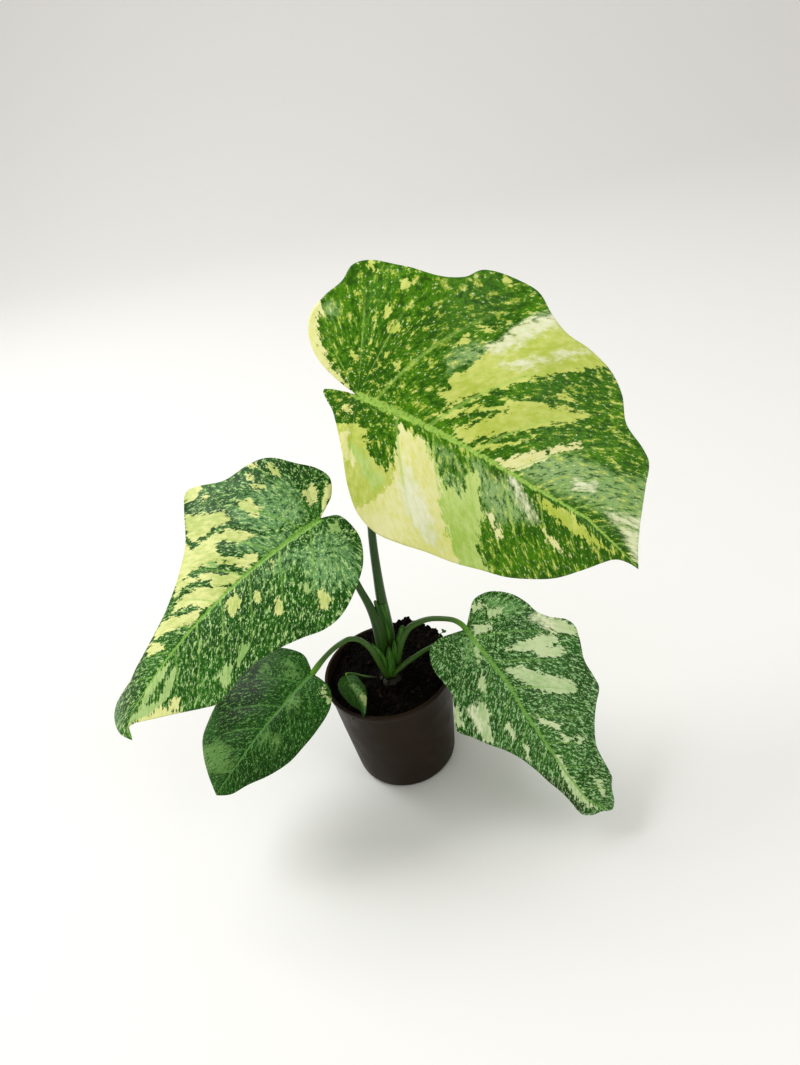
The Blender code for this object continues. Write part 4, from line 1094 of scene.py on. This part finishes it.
# Left blade
# Second leaf, on the left: narrower, its right lobe drawn out into a wing. Leathery dark green,
# dusted with cream and crossed by a broad streaked cream band, its tip turned down.
LEFT = {
    "base": (-19, -15, 252),
    "heading": (-159.7, -159.7),
    "pitch": (11.7, 47.0),
    "length": 191.4,
    "roll": (-32, -24, -14),
    "fold": ((-4, 0, 10), (-8, 0, 12)),
    "curl": ((25, 28, 35), (14, 26, 30)),
    "wave": (2.5, 2.2, 1.0, 2.6),
    "half_width": 65,
    "tip": (190.8, -10.5),
    "left": [
        (-5, 1), (-12, 5), (-15, 16), (-14, 28), (-6, 42), (8, 53), (24, 60), (40, 60), (56, 55),
        (76, 50), (95, 47), (114, 47), (128, 46), (138, 40), (150, 31), (164, 20), (173.5, 12),
        (180, 6.5), (185.5, 3.5), (188.5, 4), (190, 6.5)],
    "right": [
        (-6, 4), (-15, 9), (-21, 20), (-17, 31), (-8, 41), (5, 56), (18, 62), (34, 66), (50, 79),
        (58, 81), (65, 70), (76, 51), (88, 41), (102, 33), (120, 26), (142, 22), (158, 21),
        (166, 20), (176, 22.5), (186, 26.5), (192, 27), (196, 22), (196.5, 11), (194.5, 0.5),
        (192.8, -5.5)],
    "rib": [
        (0, 0), (150, 0), (175, 0), (186, -2), (190.8, -10.5)],
    "lean": ((62, 38), (62, 38)),
    "veins": (
        (-60, -38, -16, 8, 32, 56, 80, 102, 124, 145, 165),
        (-60, -38, -16, 12, 36, 60, 84, 106, 128, 148, 168)),
    "quilt": 0.8,
    "rib_width": 2.2,
    "step": 2.0,
    "columns": 42,
    "field_reach": 9,
    "fields": [
        ("cream", [(57, 84), (51, 84), (46, 77), (50, 72), (55, 70), (62, 76), (62, 82)]),
        ("cream", [(52, 69), (46, 66), (47, 62), (52, 64)]),
        ("cream", [(-2, 22), (-9, 23), (-10, 17), (-6, 12), (0, 11), (0, 18)]),
        ("cream", [(-8, 10), (-16, 17), (-22, 18), (-20, 10), (-12, 8), (-4, 2)]),
        ("cream", [(16, 61), (10, 58), (12, 55), (17, 58)]),
        ("cream", [(21, 56), (18, 56), (18, 49), (22, 52)]),
        ("cream", [(8, 52), (3, 50), (4, 45), (4, 39), (8, 44)]),
        ("cream", [(22, 48), (15, 42), (16, 38), (22, 43)]),
        # The grey fields are partly grey-green tissue and partly a painted sheen, a reflection laid into the colour.
        ("grey", [(36, 48), (26, 42), (14, 42), (2, 38), (2, 25), (5, 12), (10, 6), (20, 10), (35, 16), (41, 32), (42, 42)]),
        ("cream", [(36, 46), (28, 41), (26, 30), (30, 25), (34, 33), (36, 40)]),
        ("cream", [(66, 68), (56, 55), (44, 46), (44, 36), (52, 40), (63, 42), (73, 48), (71, 60)]),
        ("cream", [(66, 40), (58, 37), (48, 32), (42, 24), (38, 16), (48, 20), (58, 30), (65, 34)]),
        ("cream", [(79, 52), (68, 42), (60, 32), (64, 27), (63, 20), (54, 12), (44, 7), (46, 2), (56, 4), (64, 16), (68, 22), (76, 26), (84, 25), (75, 20), (70, 11), (62, 6), (60, 0), (66, 0), (76, 6), (80, 16), (86, 22), (95, 27), (106, 26), (92, 43)]),
        ("lime", [(78, 50), (62, 33), (65, 27), (70, 18), (78, 28), (90, 37)]),
        ("cream", [(105, 24), (94, 21), (86, 16), (76, 6), (70, 0), (78, -1), (91, 2), (98, 13), (112, 21)]),
        ("cream", [(120, 24), (108, 14), (94, 4), (102, 1), (113, 8), (124, 15), (134, 20), (128, 24)]),
        ("cream", [(140, 22), (130, 14), (130, 7), (144, 16)]),
        ("green", [(92, 32), (84, 31), (76, 26), (76, 21), (84, 24)]),
        ("green", [(106, 28), (95, 27), (85, 22), (78, 14), (86, 16), (94, 21), (102, 24)]),
        ("green", [(112, 20), (102, 16), (93, 5), (102, 10), (110, 15)]),
        ("green", [(76, 48), (68, 44), (68, 40), (76, 42)]),
        ("grey", [(50, 24), (38, 16), (20, 4), (27, -1), (42, 5), (52, 16)]),
        ("grey", [(54, -8), (30, -5), (18, -10), (4, -8), (-8, -18), (-7, -38), (4, -50), (18, -45), (28, -47), (29, -38), (26, -16), (40, -14)]),
        ("cream", [(28, -39), (24, -40), (24, -48), (30, -52), (34, -48)]),
        ("lime", [(-2, -6), (-8, -8), (-7, -16), (-1, -13)]),
        ("cream", [(78, -5), (70, -4), (70, -11), (76, -15), (82, -15), (82, -9)]),
        ("lime", [(96, -36), (89, -33), (84, -36), (91, -40), (100, -42), (100, -38)]),
        ("lime", [(116, -38), (106, -34), (102, -38), (110, -44), (118, -44)]),
        ("cream", [(54, -26), (50, -28), (54, -36), (58, -35), (58, -30)]),
        ("cream", [(60, -13), (58, -15), (60, -20), (64, -18)]),
        ("cream", [(40, -3), (38, -3), (42, -8), (46, -9)]),
        ("lime", [(34, -30), (28, -31), (32, -36), (36, -36)]),
        ("lime", [(157, -13), (142, -10), (128, -9), (142, -16), (152, -18), (168, -14), (180, -6), (194, -4), (182, -1), (166, -6)]),
        ("lime", [(160, 0), (141, 0), (130, -4), (141, -6), (160, -7), (172, -4)]),
        ("cream", [(183, -4), (167, -13), (158, -16), (155, -23), (150, -32), (162, -24), (178, -11)]),
        ("cream", [(149, -20), (143, -24), (150, -28), (156, -23)]),
        ("lime", [(114, -14), (106, -9), (106, -12), (114, -16)])],
}
left_skin = variegated(
    "waxy_streaked_leaf", ("#1a4c06", "#2c6a14"), ("#0f3402", "#184506"),
    ("#4a7c40", "#74a464"), ("#86ac5e", "#a8c47c"), ("#84b05c", "#b4d084"),
    ("#b4c76a", "#e6ea9c"), ("#cfe6ae", "#e8f2cc"), "#86ba4c", 1.15, 0.75, 0.38)
finished_blade("left", LEFT, left_skin)

# Small blade
# Older small leaf at the lower left, on a short arched stalk: thin, nearly flat and plain dark
# green, with grey-green clouds towards its tip.
SMALL = {
    "base": (-54, -18, 123),
    "heading": (-147.5, -147.5),
    "pitch": (9.1, 43.0),
    "length": 109.3,
    "roll": (-20, -18, -16),
    "fold": ((-6, 0, 6), (-6, 0, 6)),
    "curl": ((35, 40, 45), (30, 35, 40)),
    "wave": (1.2, 2.0, 0.0, 1.5),
    "half_width": 40,
    "tip": (110, 0),
    "left": [
        (-2, 8), (-2, 18), (4, 27), (14, 32), (28, 34), (42, 34), (58, 33), (74, 27), (90, 17),
        (101, 11), (106, 6)],
    "right": [
        (-3, 6), (-5, 16), (0, 27), (8, 37), (20, 45), (38, 47), (56, 44), (74, 43), (87, 40),
        (96, 29), (103, 16), (107, 7)],
    "rib": [
        (0, 0), (30, -2.5), (80, -2.5), (110, 0)],
    "lean": ((62, 38), (62, 38)),
    "veins": ((-40, -16, 8, 28, 48, 66, 84), (-40, -16, 10, 32, 52, 70, 88)),
    "quilt": 0.55,
    "rib_width": 1.7,
    "step": 1.7,
    "columns": 34,
    "field_reach": 9,
    "fields": [
        
        ("grey", [(94, 35), (87, 28), (80, 22), (78, 14), (78, 8), (82, 8), (84, 4), (78, 0), (88, 0), (95, 5), (99, 14), (106, 20), (100, 30)]),
        ("grey", [(10, 22), (4, 20), (6, 8), (8, 13)]),
        ("grey", [(15, 15), (6, 8), (8, 4), (14, 10)]),
        ("grey", [(22, 32), (18, 29), (22, 24), (26, 27)]),
        ("grey", [(26, -1), (19, -3), (19, -10), (25, -13), (30, -6)]),
        ("grey", [(53, -12), (46, -15), (52, -20), (58, -20)]),
        ("grey", [(60, -6), (50, -6), (52, -10), (62, -10)]),
        ("cream", [(4, -14), (0, -14), (3, -20), (7, -19)]),
        ("cream", [(4, -22), (2, -24), (4, -28), (7, -25)]),
        # Painted shadow: this dark field is the shadow the left blade casts on this blade's upper left.
        ("dark", [(56, 52), (14, 41), (37, 12), (78, 20)])],
}
small_skin = variegated(
    "waxy_dark_leaf", ("#153e04", "#235610"), ("#0c2802", "#133404"), ("#527c36", "#6e9850"),
    ("#527c36", "#6e9850"), ("#3a6c2a", "#6c9a52"), ("#8fac64", "#b9ca8c"),
    ("#90b678", "#b8d09c"), "#5c9040", 0.95, 0.6, 0.42)
finished_blade("small", SMALL, small_skin)

# Right blade
# Leaf at the lower right that hangs over the pot's edge: mid green sprinkled with mint, a few
# pale clouds beside the midrib, its tip bent down and aside.
RIGHT = {
    "base": (62, -25, 142),
    "heading": (-52.8, -44.8),
    "pitch": (35.3, 51.3),
    "hook": 30,
    "length": 165.4,
    "roll": (12, 14, 18),
    "fold": ((-8, 0, 16), (-4, 4, 16)),
    "curl": ((20, 25, 40), (35, 38, 50)),
    "wave": (2.5, 2.5, 0.5, 2.2),
    "half_width": 58,
    "tip": (162.5, 5.5),
    "left": [
        (-6, 9), (-12, 18), (-11, 28), (-6, 36), (3, 43), (14, 47), (24, 49), (34, 56), (43, 66),
        (52, 69), (61, 64), (74, 55), (88, 54), (98, 53), (104, 42), (112, 30), (122, 20),
        (130, 17), (141, 15), (148, 13.5), (151, 9.5), (156, 7), (163, 5), (166.5, 1.5), (165, -3)],
    "right": [
        (-3, 8), (-7, 18), (-7, 27), (-2, 33), (8, 37), (18, 37), (28, 38), (38, 45), (48, 52),
        (58, 47), (70, 41), (80, 35), (92, 30), (106, 27), (118, 25.5), (128, 23.5), (138, 22.5),
        (150, 22), (158, 20), (163, 14.5), (163, 9)],
    "rib": [
        (0, 0), (50, 3), (70, 7.5), (100, 10), (120, 12), (145, 12.5), (162.5, 5.5)],
    "lean": ((62, 38), (62, 38)),
    "veins": (
        (-60, -35, -14, 8, 30, 52, 74, 96, 116, 136),
        (-60, -35, -14, 10, 32, 54, 76, 98, 120, 140)),
    "quilt": 0.75,
    "rib_width": 2.2,
    "step": 1.9,
    "columns": 40,
    "field_reach": 9,
    "fields": [
        
        ("white", [(23, -43), (26, -51), (33, -54), (38, -54), (43, -54), (38, -46), (31, -46), (26, -40)]),
        ("cream", [(33, -54), (41, -63), (54, -70), (60, -66), (48, -54), (43, -49)]),
        ("cream", [(34, -28), (40, -44), (51, -52), (49, -41), (42, -26), (34, -16), (28, -10), (31, -20)]),
        ("cream", [(43, -26), (44, -34), (54, -46), (60, -49), (59, -41), (50, -28)]),
        ("cream", [(37, -2), (45, -12), (54, -18), (64, -25), (74, -34), (84, -36), (86, -32), (78, -22), (73, -16), (63, -10), (55, -6), (48, -4), (41, -2)]),
        ("cream", [(1, -6), (8, -16), (13, -14), (7, -2)]),
        ("cream", [(-10, -14), (-8, -22), (-3, -22), (-5, -12)]),
        ("cream", [(-1, -20), (4, -30), (9, -28), (5, -17)]),
        ("cream", [(41, 28), (47, 25), (54, 26), (59, 32), (71, 37), (67, 42), (58, 41), (51, 37), (45, 37), (48, 32)]),
        ("white", [(42, 37), (43, 30), (53, 34), (62, 38), (58, 41), (48, 38)]),
        ("cream", [(33, 42), (35, 38), (49, 46), (46, 51)]),
        ("cream", [(67, 24), (67, 19), (80, 24), (77, 26)]),
        ("cream", [(86, 22), (87, 20), (98, 26), (95, 27)]),
        ("cream", [(105, 10), (109, 8), (124, 11), (137, 12), (150, 11), (159, 9), (152, 14), (138, 18), (122, 16)]),
        ("cream", [(135, 0), (141, -4), (153, 0), (148, 2)]),
        ("cream", [(106, -11), (113, -16), (114, -8)]), ("cream", [(97, -2), (107, -8), (105, 0)]),
        ("cream", [(75, 3), (90, -4), (94, -8), (94, -2), (81, 4)]),
        ("cream", [(34, 20), (31, 14), (33, 12), (42, 19), (40, 21)]),
        ("cream", [(12, 3), (11, -2), (23, 6), (23, 10)]),
        ("grey", [(-8, -26), (10, -44), (19, -42), (11, -28), (0, -24)]),
        ("grey", [(4, 8), (11, -2), (25, 10), (17, 16)]),
        # Painted shade: this dark field darkens the half that droops down near the tip.
        ("dark", [(108, 26), (122, 18), (142, 16), (164, 15), (155, 26), (129, 28)])],
}
right_skin = variegated(
    "waxy_speckled_leaf", ("#1e520c", "#32681e"), ("#183604", "#24440c"), ("#5c9048", "#7ca966"),
    ("#5c9048", "#7ca966"), ("#6ea45a", "#a4cc8e"), ("#a2c482", "#cfe0ac"),
    ("#c6dea8", "#ecf0c8"), "#7bae4c", 1.35, 0.66, 0.4)
finished_blade("right", RIGHT, right_skin)

# Tiny blade
# First juvenile leaf, just above the soil on a stalk as thin as a wire: soft, folded along its
# midrib, very dark with one pale sector.
TINY = {
    "base": (-31.8, -5.6, 102.3),
    "heading": (-74.7, -74.7),
    "pitch": (0.9, 12.9),
    "length": 39.3,
    "roll": (0, 0, 0),
    "fold": ((-14, -8, 0), (-14, -8, 0)),
    "curl": ((60, 60, 60), (60, 60, 60)),
    "wave": (0.0, 1.0, 0.0, 0.0),
    "half_width": 12,
    "tip": (42.5, 2.3),
    "left": [
        (0.7, 1.8), (2.4, 4.1), (4.7, 6.2), (8.2, 7.4), (11.9, 7.8), (14.8, 8.4), (17.7, 9.1),
        (21.2, 8.7), (24.9, 7.6), (29.5, 5.6), (33.3, 3.8), (36.6, 2.2), (39.5, 0.5)],
    "right": [
        (0.6, 2.8), (2.2, 5.3), (5.3, 8.2), (8.4, 9.4), (12.2, 10.0), (16.8, 9.6), (21.6, 8.6),
        (27.7, 6.6), (32.2, 4.0), (35.5, 1.9), (38.8, 1.8)],
    "rib": [
        (0, 0), (34, 0), (42.5, 2.3)],
    "lean": ((55, 38), (55, 38)),
    "veins": ((-20, 6, 13, 20, 27, 33), (-20, 6, 13, 20, 27, 33)),
    "rib_thickness": 1.1,
    "quilt": 0.25,
    "rib_width": 0.6,
    "step": 0.9,
    "columns": 14,
    "field_reach": 3,
    "fields": [
        
        ("grey", [(10.5, 1.8), (10.9, -1.8), (16.4, -4.6), (21.9, -5.7), (24.3, -6.3), (30.0, -6.4), (42.1, -1.5), (37.8, -0.1), (32.9, -1.3), (25.2, -1.1), (16.7, -0.3)]),
        ("cream", [(22.2, -2.7), (24.3, -5.5), (28.4, -7.1), (34.6, -4.6), (32.5, -2.2), (26.8, -2.1)]),
        ("cream", [(-3.6, 2.1), (-2.9, 0.0), (0.3, 1.0), (-1.0, 3.0)])],
}
tiny_skin = variegated(
    "waxy_juvenile_leaf", ("#143202", "#1f4608"), ("#0c2002", "#142c04"), ("#4c7434", "#688a46"),
    ("#4c7434", "#688a46"), ("#2f5a18", "#456f2c"), ("#8a9c5e", "#b2ba80"),
    ("#93a468", "#b3c08a"), "#437424", -0.8, 0.5, 0.45)
finished_blade("tiny", TINY, tiny_skin)

# Stage
# Plain pale floor that sweeps up into the backdrop, under soft studio light.
# The camera looks down at the plant at the photograph's angle.
FLOOR_WIDTH = 8.0
sweep = [(-4.0, 0.0), (1.6, 0.0)]
sweep += [(1.6 + 1.2 * math.sin(a), 1.2 - 1.2 * math.cos(a)) for a in np.radians(np.arange(5, 90, 5))]
sweep += [(2.8, 1.2), (2.8, 4.0)]
floor_mesh = bpy.data.meshes.new("floor")
floor_mesh.from_pydata([(x, y, z) for y, z in sweep for x in (-FLOOR_WIDTH / 2, FLOOR_WIDTH / 2)], [],
                       [(2 * k, 2 * k + 1, 2 * k + 3, 2 * k + 2) for k in range(len(sweep) - 1)])
floor_mesh.shade_smooth()
floor_material, floor_tree, floor_shader = start_material("matt_white_board", 0.8, 1.45)
floor_shader.inputs["Base Color"].default_value = srgb("#f1f1ef")
floor = new_object("floor", floor_mesh, floor_material)

world = bpy.data.worlds.new("studio")
bpy.context.scene.world = world
world.use_nodes = True
world.node_tree.nodes["Background"].inputs[0].default_value = srgb("#fdfaf5")
world.node_tree.nodes["Background"].inputs[1].default_value = 0.6
bpy.context.scene.view_settings.view_transform = "Standard"


def softbox(name, place, target, size, power):
    """Square area light at a place, turned to a target."""
    light = bpy.data.lights.new(name, "AREA")
    light.shape, light.size, light.energy = "SQUARE", size, power
    lamp = bpy.data.objects.new(name, light)
    bpy.context.scene.collection.objects.link(lamp)
    lamp.location = place
    lamp.rotation_euler = (Vector(target) - Vector(place)).to_track_quat("-Z", "Y").to_euler()


softbox("window", (-1.1, 0.5, 1.7), (0, 0, 0.25), 1.1, 27)
softbox("fill", (1.4, -0.9, 1.3), (0, 0, 0.2), 1.2, 9)

CAMERA_PLACE = (0.030, -0.442, 0.535)
CAMERA_DOWN = math.radians(35.6)
CAMERA_ROLL = math.radians(-11.6)
ahead = Vector((0, math.cos(CAMERA_DOWN), -math.sin(CAMERA_DOWN)))
level_up = Vector((0, math.sin(CAMERA_DOWN), math.cos(CAMERA_DOWN)))
level_right = Vector((1, 0, 0))
right_way = level_right * math.cos(CAMERA_ROLL) + level_up * math.sin(CAMERA_ROLL)
up_way = level_up * math.cos(CAMERA_ROLL) - level_right * math.sin(CAMERA_ROLL)
lens = bpy.data.cameras.new("camera")
lens.lens, lens.sensor_width, lens.clip_start = 27, 36, 0.01
camera = bpy.data.objects.new("camera", lens)
bpy.context.scene.collection.objects.link(camera)
turned = Matrix((right_way, up_way, -ahead)).transposed().to_4x4()
camera.matrix_world = Matrix.Translation(CAMERA_PLACE) @ turned
bpy.context.scene.camera = camera
